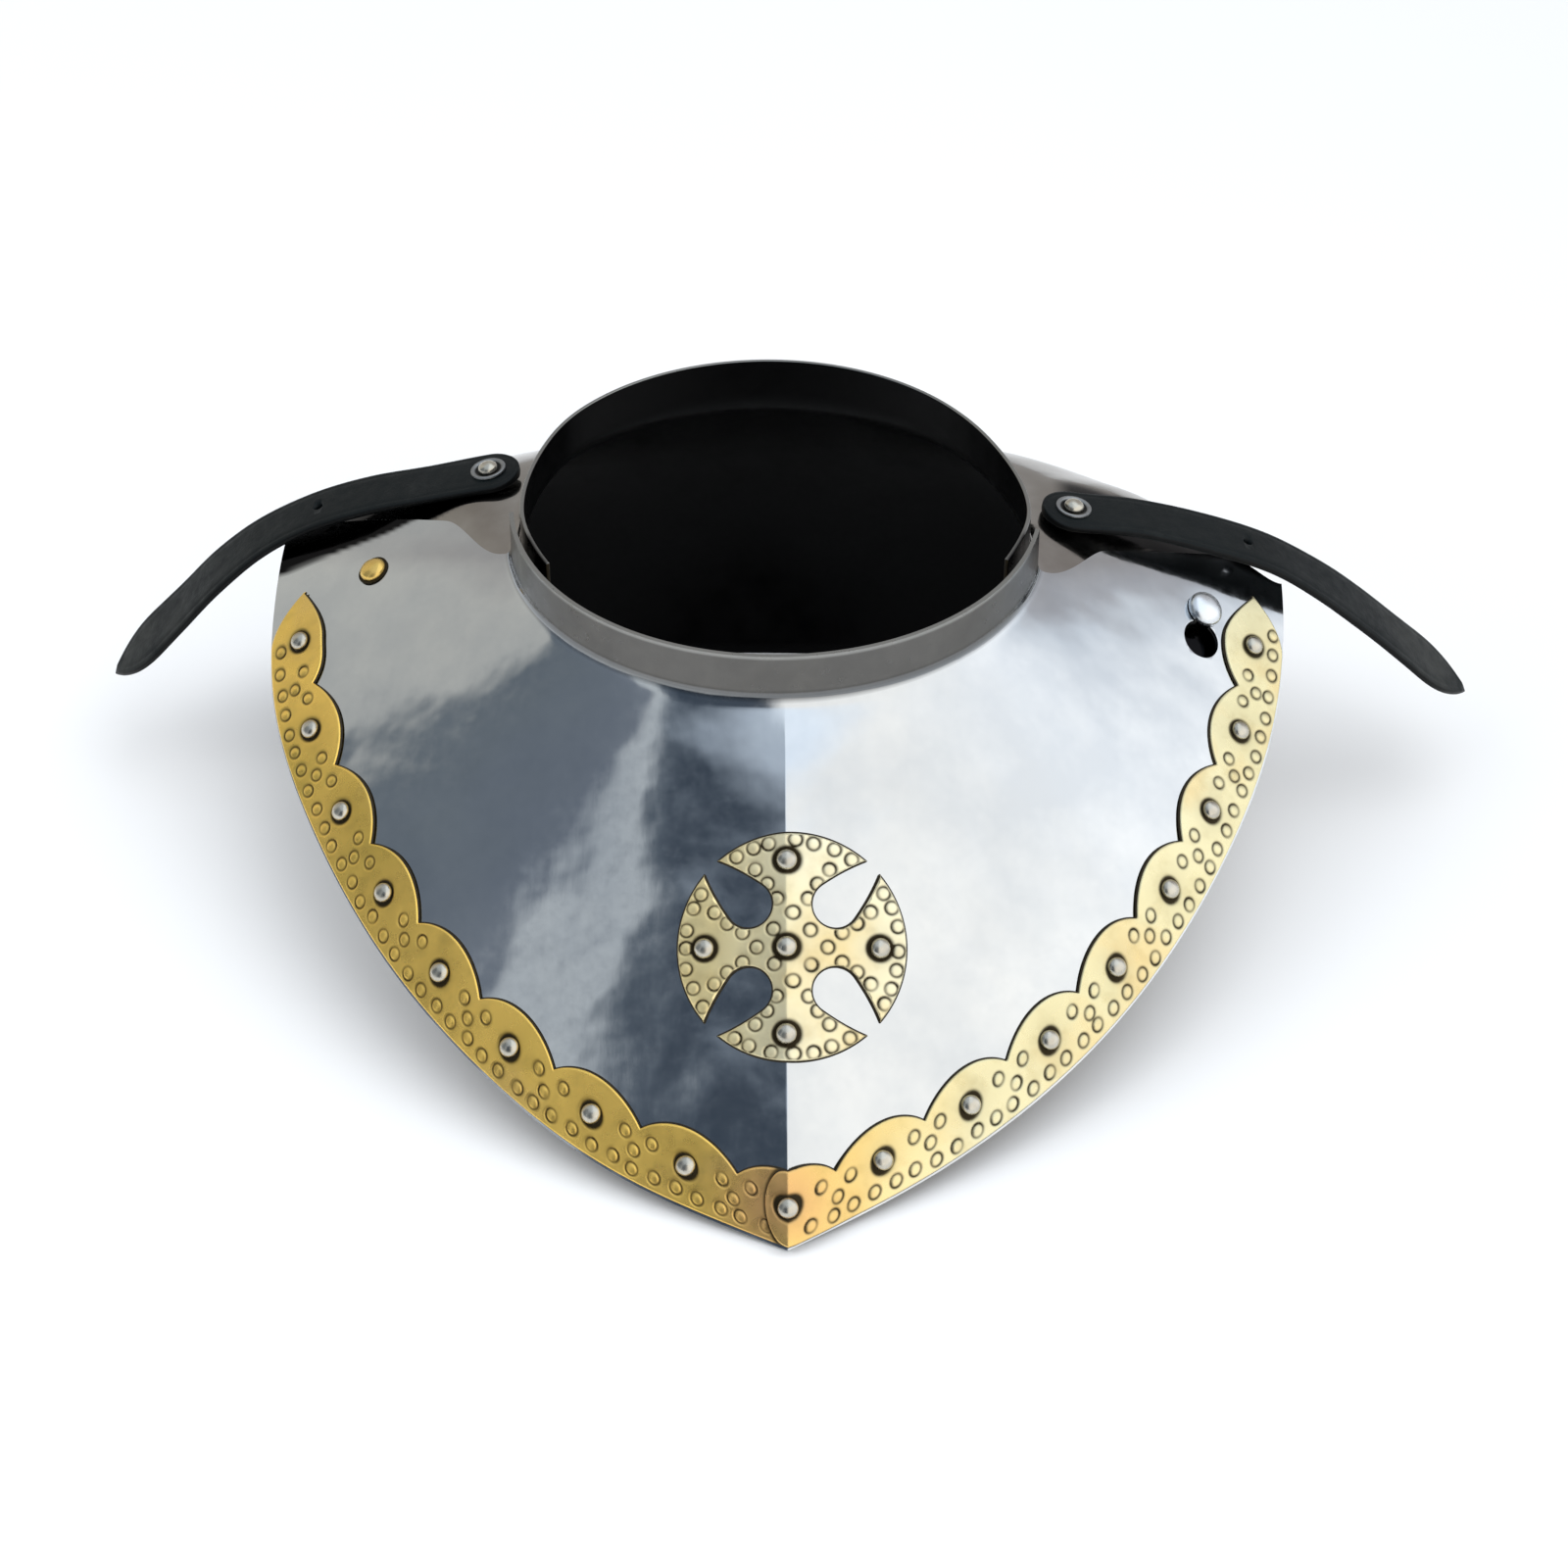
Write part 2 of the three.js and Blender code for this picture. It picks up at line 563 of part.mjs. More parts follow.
// A strap: its middle line swept flat, rounded at the rivet and pointed at the free end.
function strapSheet(points) {
  const curve = new THREE.CatmullRomCurve3(points.map((point) => new THREE.Vector3(...point)));
  const length = curve.getLength();
  const stops = [...ROUND_END_STOPS];
  const plain = length - STRAP_TIP - ROUND_END_STOPS.at(-1);
  const steps = Math.round(plain / STRAP_STEP);
  for (let i = 1; i < steps; i += 1) {
    stops.push(ROUND_END_STOPS.at(-1) + i * plain / steps);
  }
  stops.push(...TIP_STOPS.map((fromTip) => length - fromTip));
  const half = STRAP_WIDTH / 2;
  const halfWidth = (distance) => {
    const round = Math.sqrt(Math.max(0, 1 - (1 - Math.min(1, distance / half)) ** 2));
    const point = clamp((length - distance) / STRAP_TIP, 0, 1);
    return half * round * (1 - (1 - point) ** STRAP_TIP_FULLNESS);
  };
  const pointAt = (height) => (i, j) => {
    const share = stops[i] / length;
    const forward = curve.getTangentAt(share);
    const side = strapSide(forward, share).multiplyScalar(Math.sign(points[0][0]));
    const up = side.clone().cross(forward).normalize();
    up.multiplyScalar(Math.sign(up.z));
    const breadth = halfWidth(stops[i]) * (1 - j);
    return curve.getPointAt(share).addScaledVector(side, breadth).addScaledVector(up, height);
  };
  const sheet = slab(stops.length - 1, 2, pointAt(LEATHER / 2), pointAt(-LEATHER / 2));
  return { sheet, curve, length };
}

const gorget = new THREE.Group();

function addPiece(name, geometry, material) {
  const piece = new THREE.Mesh(geometry, material);
  piece.name = name;
  gorget.add(piece);
  return piece;
}

// Where the rivets go
const borderDistances = [];
for (let i = -SCALLOPS; i <= SCALLOPS; i += 1) {
  borderDistances.push(i * (i < 0 ? RIVET_PITCH.left : RIVET_PITCH.right));
}
const borderSpots = borderDistances.map((distance) => borderSpot(angleAlong(distance), RIVET_INSET));
const roundelSpots = [[0, 0], [0, -1], [1, 0], [0, 1], [-1, 0]].map(([x, drop]) => (
  spotBesideRidge(x * ROUNDEL_RIVET_RADIUS + Math.abs(x) * ROUNDEL_SIDE, drop * ROUNDEL_RIVET_RADIUS)));

// The right half laps over the left half at the ridge, so it rises there by one sheet.
const lapLift = (distance) => (BRASS + GAP) * (1 - smoothstep(distance, ...LAP_RISE));
const borderHoles = (keep) => borderSpots
  .filter((spot, i) => keep(i - SCALLOPS))
  .map((spot) => drill(SHANK_RADIUS + HOLE_PLAY, frameAt(spot.angle, spot.reach)));

const straps = { left: strapSheet(LEFT_STRAP), right: strapSheet(RIGHT_STRAP) };

function strapFrame({ curve, length }, distance) {
  const forward = curve.getTangentAt(distance / length);
  const y = strapSide(forward, distance / length);
  const z = forward.clone().cross(y).normalize();
  z.multiplyScalar(Math.sign(z.z));
  y.copy(z).cross(forward).normalize();
  const frame = new THREE.Matrix4().makeBasis(y.clone().cross(z), y, z);
  return frame.setPosition(curve.getPointAt(distance / length));
}

const strapRivetFrames = [straps.left, straps.right].map((strap) => strapFrame(strap, STRAP_RIVET_DISTANCE));

addPiece('front_plate', frontPlate(borderSpots, roundelSpots), steel);
addPiece('back_plate', backPlate(strapRivetFrames), steel);
addPiece('border_left', borderHalf(-1, () => 0, borderHoles((i) => i <= 0)), brass);
addPiece('border_right', borderHalf(1, lapLift, borderHoles((i) => i >= 0)), brass);
addPiece('roundel', roundelSheet(roundelSpots), brass);

const sheetRivet = (extra) => rivetGeometry({
  head: RIVET_HEAD_RADIUS,
  rise: RIVET_HEAD_HEIGHT,
  shank: SHANK_RADIUS,
  grip: STEEL + BRASS + 3 * GAP + extra,
});

borderSpots.forEach((spot, i) => {
  const step = i - SCALLOPS;
  const side = step < 0 ? 'left' : 'right';
  const name = step === 0 ? 'border_rivet_point' : `border_rivet_${side}_${Math.abs(step)}`;
  const lap = step === 0 ? BRASS + GAP : 0;
  const frame = frameAt(spot.angle, spot.reach, BRASS + 2 * GAP + lap);
  const extra = step === 0 ? lap + RIDGE_GRIP : 0;
  addPiece(name, sheetRivet(extra).applyMatrix4(frame), studSteel);
});

['middle', 'top', 'right', 'bottom', 'left'].forEach((name, i) => {
  const { angle, reach } = roundelSpots[i];
  const frame = frameAt(angle, reach, BRASS + 2 * GAP);
  const extra = Math.abs(angle) < 1 ? RIDGE_GRIP : 0;
  addPiece(`roundel_rivet_${name}`, sheetRivet(extra).applyMatrix4(frame), studSteel);
});

function shoulderPin(spot, head, rise, shank) {
  const grip = backTuck(spot.angle) + STEEL + 3 * GAP;
  return rivetGeometry({ head, rise, shank, grip, tail: PIN_TAIL_RADIUS });
}

const pivotPin = shoulderPin(PIVOT_SPOT, PIVOT_HEAD_RADIUS, PIVOT_HEAD_RISE, SHANK_RADIUS);
const studPin = shoulderPin(STUD_SPOT, STUD_HEAD_RADIUS, STUD_HEAD_RISE, SHANK_RADIUS);
addPiece('pivot_rivet', pivotPin.applyMatrix4(pivotFrame(GAP)), brass);
addPiece('lock_stud', studPin.applyMatrix4(frameAt(STUD_SPOT.angle, STUD_SPOT.reach, GAP)), studSteel);

Object.entries(straps).forEach(([side, strap], i) => {
  const rivetFrame = strapRivetFrames[i];
  const holeFrame = strapFrame(strap, STRAP_HOLE_DISTANCE);
  const holes = [drill(SHANK_RADIUS + HOLE_PLAY, rivetFrame), drill(STRAP_HOLE_RADIUS, holeFrame)];
  addPiece(`strap_${side}`, cut(strap.sheet, holes), leather);
  const lift = (height) => new THREE.Matrix4().makeTranslation(0, 0, height).premultiply(rivetFrame);
  const washer = new THREE.CylinderGeometry(WASHER_RADIUS, WASHER_RADIUS, WASHER_HEIGHT, WASHER_SIDES);
  washer.rotateX(Math.PI / 2).applyMatrix4(lift(LEATHER / 2 + GAP + WASHER_HEIGHT / 2));
  addPiece(`strap_washer_${side}`, cut(washer, [holes[0]]), washerSteel);
  const rivet = rivetGeometry({
    head: STRAP_RIVET_HEAD_RADIUS,
    rise: STRAP_RIVET_RISE,
    shank: SHANK_RADIUS,
    grip: LEATHER + WASHER_HEIGHT + STEEL + 5 * GAP + STRAP_HOVER,
  });
  const headHeight = LEATHER / 2 + WASHER_HEIGHT + 2 * GAP;
  addPiece(`strap_rivet_${side}`, rivet.applyMatrix4(lift(headHeight)), studSteel);
});

const box = new THREE.Box3().setFromObject(gorget);
const middle = box.getCenter(new THREE.Vector3());
gorget.position.set(-middle.x, -middle.y, -box.min.z);

export default gorget;
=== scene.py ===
"""Looks of the steel gorget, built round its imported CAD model.

The pieces follow the same master surface as the CAD: a point is found from an angle round the neck, in
degrees from the front ridge, and a reach from 0 at the collar's foot to 1 at the lower edge. Shapes are
worked out in millimetres in the neck's own frame and moved into the row frame by row_frame().
"""

import math

import bpy
import numpy as np
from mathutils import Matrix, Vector
from mathutils.geometry import delaunay_2d_cdt


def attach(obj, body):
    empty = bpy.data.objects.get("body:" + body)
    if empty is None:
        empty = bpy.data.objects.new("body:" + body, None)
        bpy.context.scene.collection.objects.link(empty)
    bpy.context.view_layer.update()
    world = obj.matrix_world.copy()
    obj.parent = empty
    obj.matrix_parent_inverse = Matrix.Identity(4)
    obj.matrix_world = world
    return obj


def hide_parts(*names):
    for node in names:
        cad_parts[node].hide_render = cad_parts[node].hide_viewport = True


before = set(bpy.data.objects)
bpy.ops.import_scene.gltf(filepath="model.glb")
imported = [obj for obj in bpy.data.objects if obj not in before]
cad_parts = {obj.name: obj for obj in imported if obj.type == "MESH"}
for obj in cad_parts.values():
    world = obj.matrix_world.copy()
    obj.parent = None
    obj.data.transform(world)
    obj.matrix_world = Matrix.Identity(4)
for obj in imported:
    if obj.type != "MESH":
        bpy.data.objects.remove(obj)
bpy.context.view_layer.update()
scene = bpy.context.scene

# The neck frame's origin in the row frame, and the sheets
NECK = np.array((-3.1558, 42.8085, 100.39))
STEEL = 1.2
BRASS = 0.9
LEATHER = 2.5
GAP = 0.35

# Master surface; a TURN is the stretch of angles, on either side, where something changes
NECK_RADIUS = 74.5
COLLAR_HEIGHT = 14.0
BACK_NARROWING = 2.2
NARROWING_TURN = (80, 115)
BACK_SHIFT = (-2.5, 2.5)
SHIFT_TURN = (80, 130)
RIDGE_LEAN = 2.0
FLOOR = -100.39
BACK_FOOT_ANGLE = 156.0
# angle, half widths left and right, forward or back, heights left and right
EDGE = np.array([
    (0, -3.4, 3.4, -181, -100, -100),
    (12, 40, 40, -160, -94.5, -94.5),
    (26, 78, 78, -131.5, -83.5, -83.5),
    (40.5, 107, 107, -98.5, -70.5, -70.5),
    (55, 129, 129, -59.5, -57.5, -57.5),
    (70, 143.5, 143.5, -16, -42.5, -42.5),
    (88, 143.5, 146, 30.5, -24, -26),
    (103, 140, 141, 58, -34, -44),
    (118, 125, 125, 79, -59, -66),
    (136, 94, 94, 87, -86.5, -87),
    (BACK_FOOT_ANGLE, 50, 50, 86, FLOOR, FLOOR),
])
RIDGE_LIFT = 2.2
RIDGE_WIDTH = 12.0
RIDGE_RISE_REACH = 0.15
RIDGE_FADE = 0.7
RIDGE_NORMAL = np.array((0, -0.684, 0.729))
SHOULDER_BULGE = 14.0
SHOULDER_BULGE_TURN = (86, 114)
BACK_BULGE = 19.0
BACK_BULGE_TURN = (112, 135)
# soft waves of beaten sheet: length, heading in degrees, phase in radians, height
WAVES = ((92, 20, 0.4, 0.10), (61, 75, 1.9, 0.07), (47, 130, 4.1, 0.05), (33, 160, 2.2, 0.03),
         (27, 50, 5.0, 0.02))

# Plates
# front plate's rear edges: angle at the collar, angle at the shoulder, trim of the corner
FRONT_LEFT = (-85, -94, -2.5)
FRONT_RIGHT = (78, 87, 4.5)
FRONT_TURN_REACH = 0.25
FRONT_TRIM_REACH = 0.75
TONGUE_ANGLE = 64.0
TONGUE_REACH = 0.8
TONGUE_END_TURN = (86, 98)
# where the painted shade on the back plate's tongue, under the front plate, fades out
TONGUE_SHADE_TURN = (74, 78)
TUCK_AT_SHOULDER = 2.95
TUCK_AT_TONGUE = 4.2
SHOULDER_ANGLE = 88.0
FILLET = 2.6
PLATE_ROUNDING = 0.3
# painted shadow of the straps, black on the plates: x and y along its front line, depth behind it; then
# where it starts beside the collar
LEFT_STRAP_SHADOW = ((-140, -111, -100, -84, -78), (19, 19.5, 21, 26, 28), 38)
RIGHT_STRAP_SHADOW = ((80, 97, 104, 118, 129, 137), (12, 11, 14, 14, 17.5, 16), 26)
STRAP_SHADOW_START = (79, 86)
# hollows and swellings left by the hammer: middle, radius, height
STEEL_DENTS = (
    ((-28, -138, -84), 48, 1.0),
    ((-88, -98, -58), 44, 0.8),
    ((-44, -84, -24), 30, 0.35),
    ((-100, -30, -34), 34, 0.5),
    ((84, -70, -52), 46, 0.6),
)

# Rivet heads: radius and rise
BORDER_HEAD = (2.75, 2.1)
ROUNDEL_HEAD = (2.75, 2.2)
PIVOT_HEAD = (3.9, 2.3)
STUD_HEAD = (5.3, 3.4)
STRAP_HEAD = (2.9, 2.2)
HEAD_SINK = 0.3
RIDGE_GRIP = 0.9

# Shoulder fastenings: angle and reach
PIVOT_SPOT = (-83, 0.582)
PIVOT_TILT = (0.07, 0.04, 0)
# radius and height round the pivot's burr
BURR = ((0, -0.3), (4.7, -0.3), (4.7, 0), (4.2, 0.1), (0, 0.1))
STUD_SPOT = (77, 0.668)
KEYHOLE_SPOT = (73, 0.668)
STUD_NECK_RADIUS = 2.2
HOLE_PLAY = 0.3
KEYHOLE_RADIUS = 5.8

# Border: -1 is its left half, 1 its right half
SIDES = {-1: "left", 1: "right"}
SCALLOPS = 8
BORDER_INSET = 0.6
RIVET_INSET = 11.0
RIVET_PITCH = {-1: 29.65, 1: 28.75}
CUSP_DEPTH = 15.0
SCALLOP_RISE = 6.0
TAIL_LENGTH = 16.5
LEAST_WIDTH = 0.6
END_LOBE = {-1: 0.78, 1: 1.0}
LAP = 6.0
LAP_SETTLES = (9, 20)

# Punch-marks in the brass
RING_RADIUS = 1.75
RING_WIDTH = 0.36
RING_DEPTH = 0.26
MOAT_RADIUS = 3.3
MOAT_WIDTH = 0.6
MOAT_DEPTH = 0.28
EDGE_BEVEL = 0.5
RIM_DROP = 0.4
RIM_WIDTH = 0.7
# darkening of the brass sheets' undersides: grime, and painted shade between brass and steel
UNDERSIDE_GRIME_AND_SHADE = 0.75
# border: a row along the edge, then each cusp's rings as distance along and depth
EDGE_RINGS = 37
EDGE_RING_PITCH = 6.35
EDGE_RING_DEPTH = 3.9
CUSP_RINGS = ((-4.6, 12.4), (4.4, 12.2), (0.2, 8.4))
# each arm of the roundel: degrees of the rings along its rim, then distance and degrees of the others
RIM_RING_DISTANCE = 28.2
RIM_RINGS = (-32, -22, -11, 0, 11, 22, 32)
ARM_RINGS = ((22.5, -25), (22.5, 25), (18.0, -21), (18.0, 21), (13.4, -17), (13.4, 17), (9.2, 0), (6.6, 45))

# Roundel
ROUNDEL_RADIUS = 30.6
ROUNDEL_SIDE = 1.5
ROUNDEL_REACH = 0.455
ROUNDEL_RIVET_RADIUS = 23.0
CUTOUT_DISTANCE = 16.2
CUTOUT_RADIUS = 6.1
CUTOUT_MOUTH = 2.1
CUTOUT_SHOULDER = (8.5, 4.7)
CUTOUT_SHOULDER_RADIANS = 1.4

# Straps
STRAP_WIDTH = 18.5
STRAP_RIVET_DISTANCE = 9.0
STRAP_HOLE_DISTANCE = 61.0
STRAP_HOLE_RADIUS = 1.5
STRAP_TWIST = {"left": 21.0, "right": 12.0}
STRAP_TIP = 23.0
STRAP_TIP_FULLNESS = 2.5
CREASE_INSET = 2.2
CREASE_DEPTH = 0.12
STRAP_LINES = {
    "left": [
        (-74, 36, -0.3), (-83, 36, -1.7), (-101, 36, -5.6), (-119, 37, -10.2), (-136, 37.5, -16.6),
        (-151, 37, -25), (-164, 36, -35.8), (-176, 35, -48.6), (-188, 34.5, -61.6), (-198, 34.5, -72.8)],
    "right": [
        (76, 19, -1.7), (85.5, 19, -3.5), (103, 19, -5.5), (122, 19, -10.4), (142, 19.5, -18.1),
        (157, 20, -27.7), (170, 20.5, -38.2), (183, 21, -50), (196, 22, -62.5), (204.5, 22.5, -70.5)],
}
# radius and height round a washer
WASHER = ((0, 0), (5.1, 0), (5.2, 0.25), (5.1, 0.6), (4.8, 0.75), (4.4, 0.75), (4.1, 0.55), (3.7, 0.3),
          (2.9, 0.25), (0, 0.25))
# radius inside which the washer's recess is painted dark: painted shade
WASHER_RECESS_SHADE = 4.0

# Photographer, in front and looking down: aim in the neck frame, degrees, metres, lens
CAMERA_TARGET = (2.3, -40, -56)
CAMERA_ELEVATION = 38.3
CAMERA_DISTANCE = 1.1
CAMERA_LENS = 89.4
# colours of the room by degrees round it, from behind the camera towards the picture's right
ROOM = (
    (-180, (0.55, 0.55, 0.55)), (-150, (0.46, 0.44, 0.42)), (-128, (0.62, 0.61, 0.57)),
    (-103, (0.60, 0.60, 0.57)), (-98, (0.17, 0.20, 0.23)), (-61, (0.20, 0.23, 0.28)),
    (-57, (0.58, 0.62, 0.65)), (-51, (0.62, 0.66, 0.69)), (-46, (0.14, 0.17, 0.21)),
    (-36, (0.06, 0.08, 0.11)), (-6, (0.08, 0.10, 0.13)), (6, (1.32, 1.29, 1.25)),
    (50, (1.36, 1.34, 1.30)), (100, (1.42, 1.44, 1.47)), (112, (1.0, 1.05, 1.12)),
    (122, (0.62, 0.62, 0.65)), (146, (0.45, 0.43, 0.43)), (180, (0.55, 0.55, 0.55)))
CEILING = ((-10.8, (0.62, 0.70, 0.80)), (10.8, (1.2, 1.3, 1.42)))
CEILING_STARTS = (0.70, 0.88)
# place in metres, side, power
LAMPS = {"soft_box": ((0.3, -0.2, 1.6), 1.4, 7.0), "soft_fill": ((-1.3, -0.5, 1.3), 1.6, 12.0)}


# ---- master surface

def smoothstep(x, low, high):
    t = np.clip((np.asarray(x, float) - low) / (high - low), 0, 1)
    return t * t * (3 - 2 * t)


def lerp(a, b, t):
    return a + (b - a) * t


def natural_spline(knots, values):
    knots, values = np.asarray(knots, float), np.asarray(values, float)
    step, last = np.diff(knots), len(knots) - 1
    system, kinks = np.eye(last + 1), np.zeros(last + 1)
    for i in range(1, last):
        system[i, i - 1:i + 2] = step[i - 1], 2 * (step[i - 1] + step[i]), step[i]
        kinks[i] = 6 * ((values[i + 1] - values[i]) / step[i] - (values[i] - values[i - 1]) / step[i - 1])
    bend = np.linalg.solve(system, kinks)

    def curve(t):
        i = np.clip(np.searchsorted(knots, t) - 1, 0, last - 1)
        a = (knots[i + 1] - t) / step[i]
        b = (t - knots[i]) / step[i]
        cubic = ((a ** 3 - a) * bend[i] + (b ** 3 - b) * bend[i + 1]) * step[i] ** 2 / 6
        return a * values[i] + b * values[i + 1] + cubic
    return curve


left_width, right_width, edge_forward, left_height, right_height = (
    natural_spline(EDGE[:, 0], EDGE[:, column]) for column in range(1, 6))


def wrapped(angle):
    return (np.asarray(angle, float) + 180) % 360 - 180


def edge_point(angle):
    turn = np.abs(angle)
    bounded = np.minimum(turn, BACK_FOOT_ANGLE)
    narrowing = np.clip((180 - turn) / (180 - BACK_FOOT_ANGLE), 0, 1)
    width = np.where(angle < 0, -left_width(bounded), right_width(bounded))
    height = np.where(angle < 0, left_height(bounded), right_height(bounded))
    return np.stack([width * narrowing, edge_forward(bounded), height], -1)


def neck_point(angle):
    turn = np.abs(angle)
    radians = np.radians(angle + RIDGE_LEAN * np.maximum(0, np.cos(np.radians(angle))))
    rear = smoothstep(turn, *SHIFT_TURN)
    half_width = NECK_RADIUS - BACK_NARROWING * smoothstep(turn, *NARROWING_TURN)
    x = half_width * np.sin(radians) + BACK_SHIFT[0] * rear
    y = -(NECK_RADIUS - rear) * np.cos(radians) + BACK_SHIFT[1] * rear
    return np.stack([x, y, np.zeros_like(x)], -1)


def surface(angle, reach):
    angle, reach = np.broadcast_arrays(wrapped(angle), np.asarray(reach, float))
    top = neck_point(angle)
    chord = edge_point(angle) - top
    flare = np.hypot(chord[..., 0], chord[..., 1])
    turn = np.abs(angle)
    bulge = SHOULDER_BULGE * smoothstep(turn, *SHOULDER_BULGE_TURN)
    bulge = bulge - (SHOULDER_BULGE - BACK_BULGE) * smoothstep(turn, *BACK_BULGE_TURN)
    swell = 4 * reach * (1 - reach) * bulge / np.linalg.norm(chord, axis=-1)
    x, y, z = (chord[..., k] for k in range(3))
    across = np.stack([-z * x / flare, -z * y / flare, flare], -1)
    keel = RIDGE_LIFT * smoothstep(reach, 0, RIDGE_RISE_REACH) * (1 - RIDGE_FADE * reach)
    keel = keel * np.exp(-turn / RIDGE_WIDTH)
    return top + chord * reach[..., None] + across * swell[..., None] + keel[..., None] * RIDGE_NORMAL


def unit(vectors):
    return vectors / np.linalg.norm(vectors, axis=-1, keepdims=True)


def normal(angle, reach):
    around = surface(angle + 0.5, reach) - surface(angle - 0.5, reach)
    down = surface(angle, reach + 0.005) - surface(angle, reach - 0.005)
    return unit(np.cross(down, around))


def off_surface(angle, reach, height):
    return surface(angle, reach) + normal(angle, reach) * np.asarray(height, float)[..., None]


def frame_at(spot, height=0.0, tilt=(0, 0, 0)):
    """A frame standing on the surface: columns X round the neck, Y, Z out of the plate, and its place."""
    angle, reach = float(spot[0]), float(spot[1])
    z = unit(normal(angle, reach) + np.array(tilt))
    x = surface(angle + 0.5, reach) - surface(angle - 0.5, reach)
    x = unit(x - x.dot(z) * z)
    return np.stack([x, np.cross(z, x), z, surface(angle, reach) + z * height], -1)


def moved(placed, points):
    return np.asarray(points, float) @ placed[:, :3].T + placed[:, 3]


def row_frame(points):
    return (np.asarray(points, float) + NECK) / 1000


def waves(points):
    """Soft unevenness of hand-beaten and polished sheet, in mm."""
    x, y = points[..., 0], points[..., 1]
    total = 0
    for length, heading, phase, size in WAVES:
        along = x * math.cos(math.radians(heading)) + y * math.sin(math.radians(heading))
        total = total + size * np.sin(2 * math.pi * along / length + phase)
    return total


# ---- meshes

def add_object(name, points, faces, materials, slots=None, sharp=35, grime_and_shade=None):
    mesh = bpy.data.meshes.new(name)
    mesh.from_pydata(row_frame(points).tolist(), [], [list(face) for face in faces])
    for material in materials:
        mesh.materials.append(material)
    if slots is not None:
        mesh.polygons.foreach_set("material_index", np.asarray(slots, np.int32))
    # per-point darkening: real dirt in punch-marks, painted shade under the straps, in recesses and under
    # sheets
    if grime_and_shade is not None:
        values = mesh.attributes.new("grime_and_shade", "FLOAT", "POINT").data
        values.foreach_set("value", np.asarray(grime_and_shade, np.float32))
    mesh.polygons.foreach_set("use_smooth", np.ones(len(mesh.polygons), bool))
    mesh.set_sharp_from_angle(angle=math.radians(sharp))
    mesh.update()
    piece = bpy.data.objects.new(name, mesh)
    scene.collection.objects.link(piece)
    return piece


def grid_quads(columns, rows, start=0):
    i, j = np.meshgrid(np.arange(columns - 1), np.arange(rows - 1), indexing="ij")
    a = (start + i * rows + j).ravel()
    return np.stack([a, a + 1, a + rows + 1, a + rows], -1)


def shell(outer, inner):
    """A closed sheet between two grids with as many columns.

    Slots: 0 outside, 1 inside, 2 long edges, 3 ends.
    """
    columns, rows = outer.shape[:2]
    under_rows = inner.shape[1]
    under = columns * rows
    top = np.arange(under).reshape(columns, rows)
    low = under + np.arange(columns * under_rows).reshape(columns, under_rows)
    faces = grid_quads(columns, rows).tolist()
    slots = [0] * len(faces)
    inside = grid_quads(columns, under_rows, under)[:, ::-1].tolist()
    faces += inside
    slots += [1] * len(inside)
    for i in range(columns - 1):
        faces.append([top[i, -1], low[i, -1], low[i + 1, -1], top[i + 1, -1]])
        faces.append([top[i + 1, 0], low[i + 1, 0], low[i, 0], top[i, 0]])
    slots += [2] * (len(faces) - len(slots))
    if rows == under_rows:
        for j in range(rows - 1):
            faces.append([top[0, j], low[0, j], low[0, j + 1], top[0, j + 1]])
            faces.append([top[-1, j + 1], low[-1, j + 1], low[-1, j], top[-1, j]])
    else:
        faces.append([*top[0, ::-1], *low[0]])
        faces.append([*top[-1], *low[-1, ::-1]])
    slots += [3] * (len(faces) - len(slots))
    points = np.concatenate([outer.reshape(-1, 3), inner.reshape(-1, 3)])
    return points, faces, slots


def apply_modifiers(piece):
    depsgraph = bpy.context.evaluated_depsgraph_get()
    mesh = bpy.data.meshes.new_from_object(piece.evaluated_get(depsgraph))
    piece.modifiers.clear()
    piece.data = mesh


def cut_away(piece, cutters):
    for cutter in cutters:
        cutter.hide_render = True
        boolean = piece.modifiers.new("cut", "BOOLEAN")
        boolean.object = cutter
        boolean.operation = "DIFFERENCE"
        boolean.solver = "EXACT"
    apply_modifiers(piece)
    for cutter in cutters:
        bpy.data.objects.remove(cutter)


def round_edges(piece, width):
    bevel = piece.modifiers.new("edges", "BEVEL")
    bevel.width = width / 1000
    bevel.segments = 2
    bevel.limit_method = "ANGLE"
    bevel.angle_limit = math.radians(50)
    bevel.use_clamp_overlap = True
    apply_modifiers(piece)


def lathe(profile, sides):
    """Points and faces of a closed shape turned about Z; its profile starts and ends on the axis."""
    points = [(0, 0, profile[0][1])]
    turns = [2 * math.pi * k / sides for k in range(sides)]
    for radius, height in profile[1:-1]:
        points += [(radius * math.cos(t), radius * math.sin(t), height) for t in turns]
    points.append((0, 0, profile[-1][1]))
    rings = len(profile) - 2
    faces = []
    for k in range(sides):
        n = (k + 1) % sides
        faces.append((0, 1 + n, 1 + k))
        for ring in range(rings - 1):
            a, b = 1 + ring * sides, 1 + (ring + 1) * sides
            faces.append((a + k, a + n, b + n, b + k))
        a = 1 + (rings - 1) * sides
        faces.append((a + k, a + n, len(points) - 1))
    return np.array(points), faces


def joined(parts):
    points, faces, count = [], [], 0
    for part_points, part_faces in parts:
        points.append(part_points)
        faces += [[count + k for k in face] for face in part_faces]
        count += len(part_points)
    return np.concatenate(points), faces


def cylinder_cutter(radius, placed, depth=8.0, sides=48):
    points, faces = lathe([(0, -depth), (radius, -depth), (radius, depth), (0, depth)], sides)
    return add_object("cutter", moved(placed, points), faces, [])


def box_cutter(half, placed):
    corners = np.array([(x, y, z) for x in (-1, 1) for y in (-1, 1) for z in (-1, 1)]) * half
    faces = [(0, 1, 3, 2), (4, 6, 7, 5), (0, 4, 5, 1), (2, 3, 7, 6), (0, 2, 6, 4), (1, 5, 7, 3)]
    return add_object("cutter", moved(placed, corners), faces, [])


# ---- materials

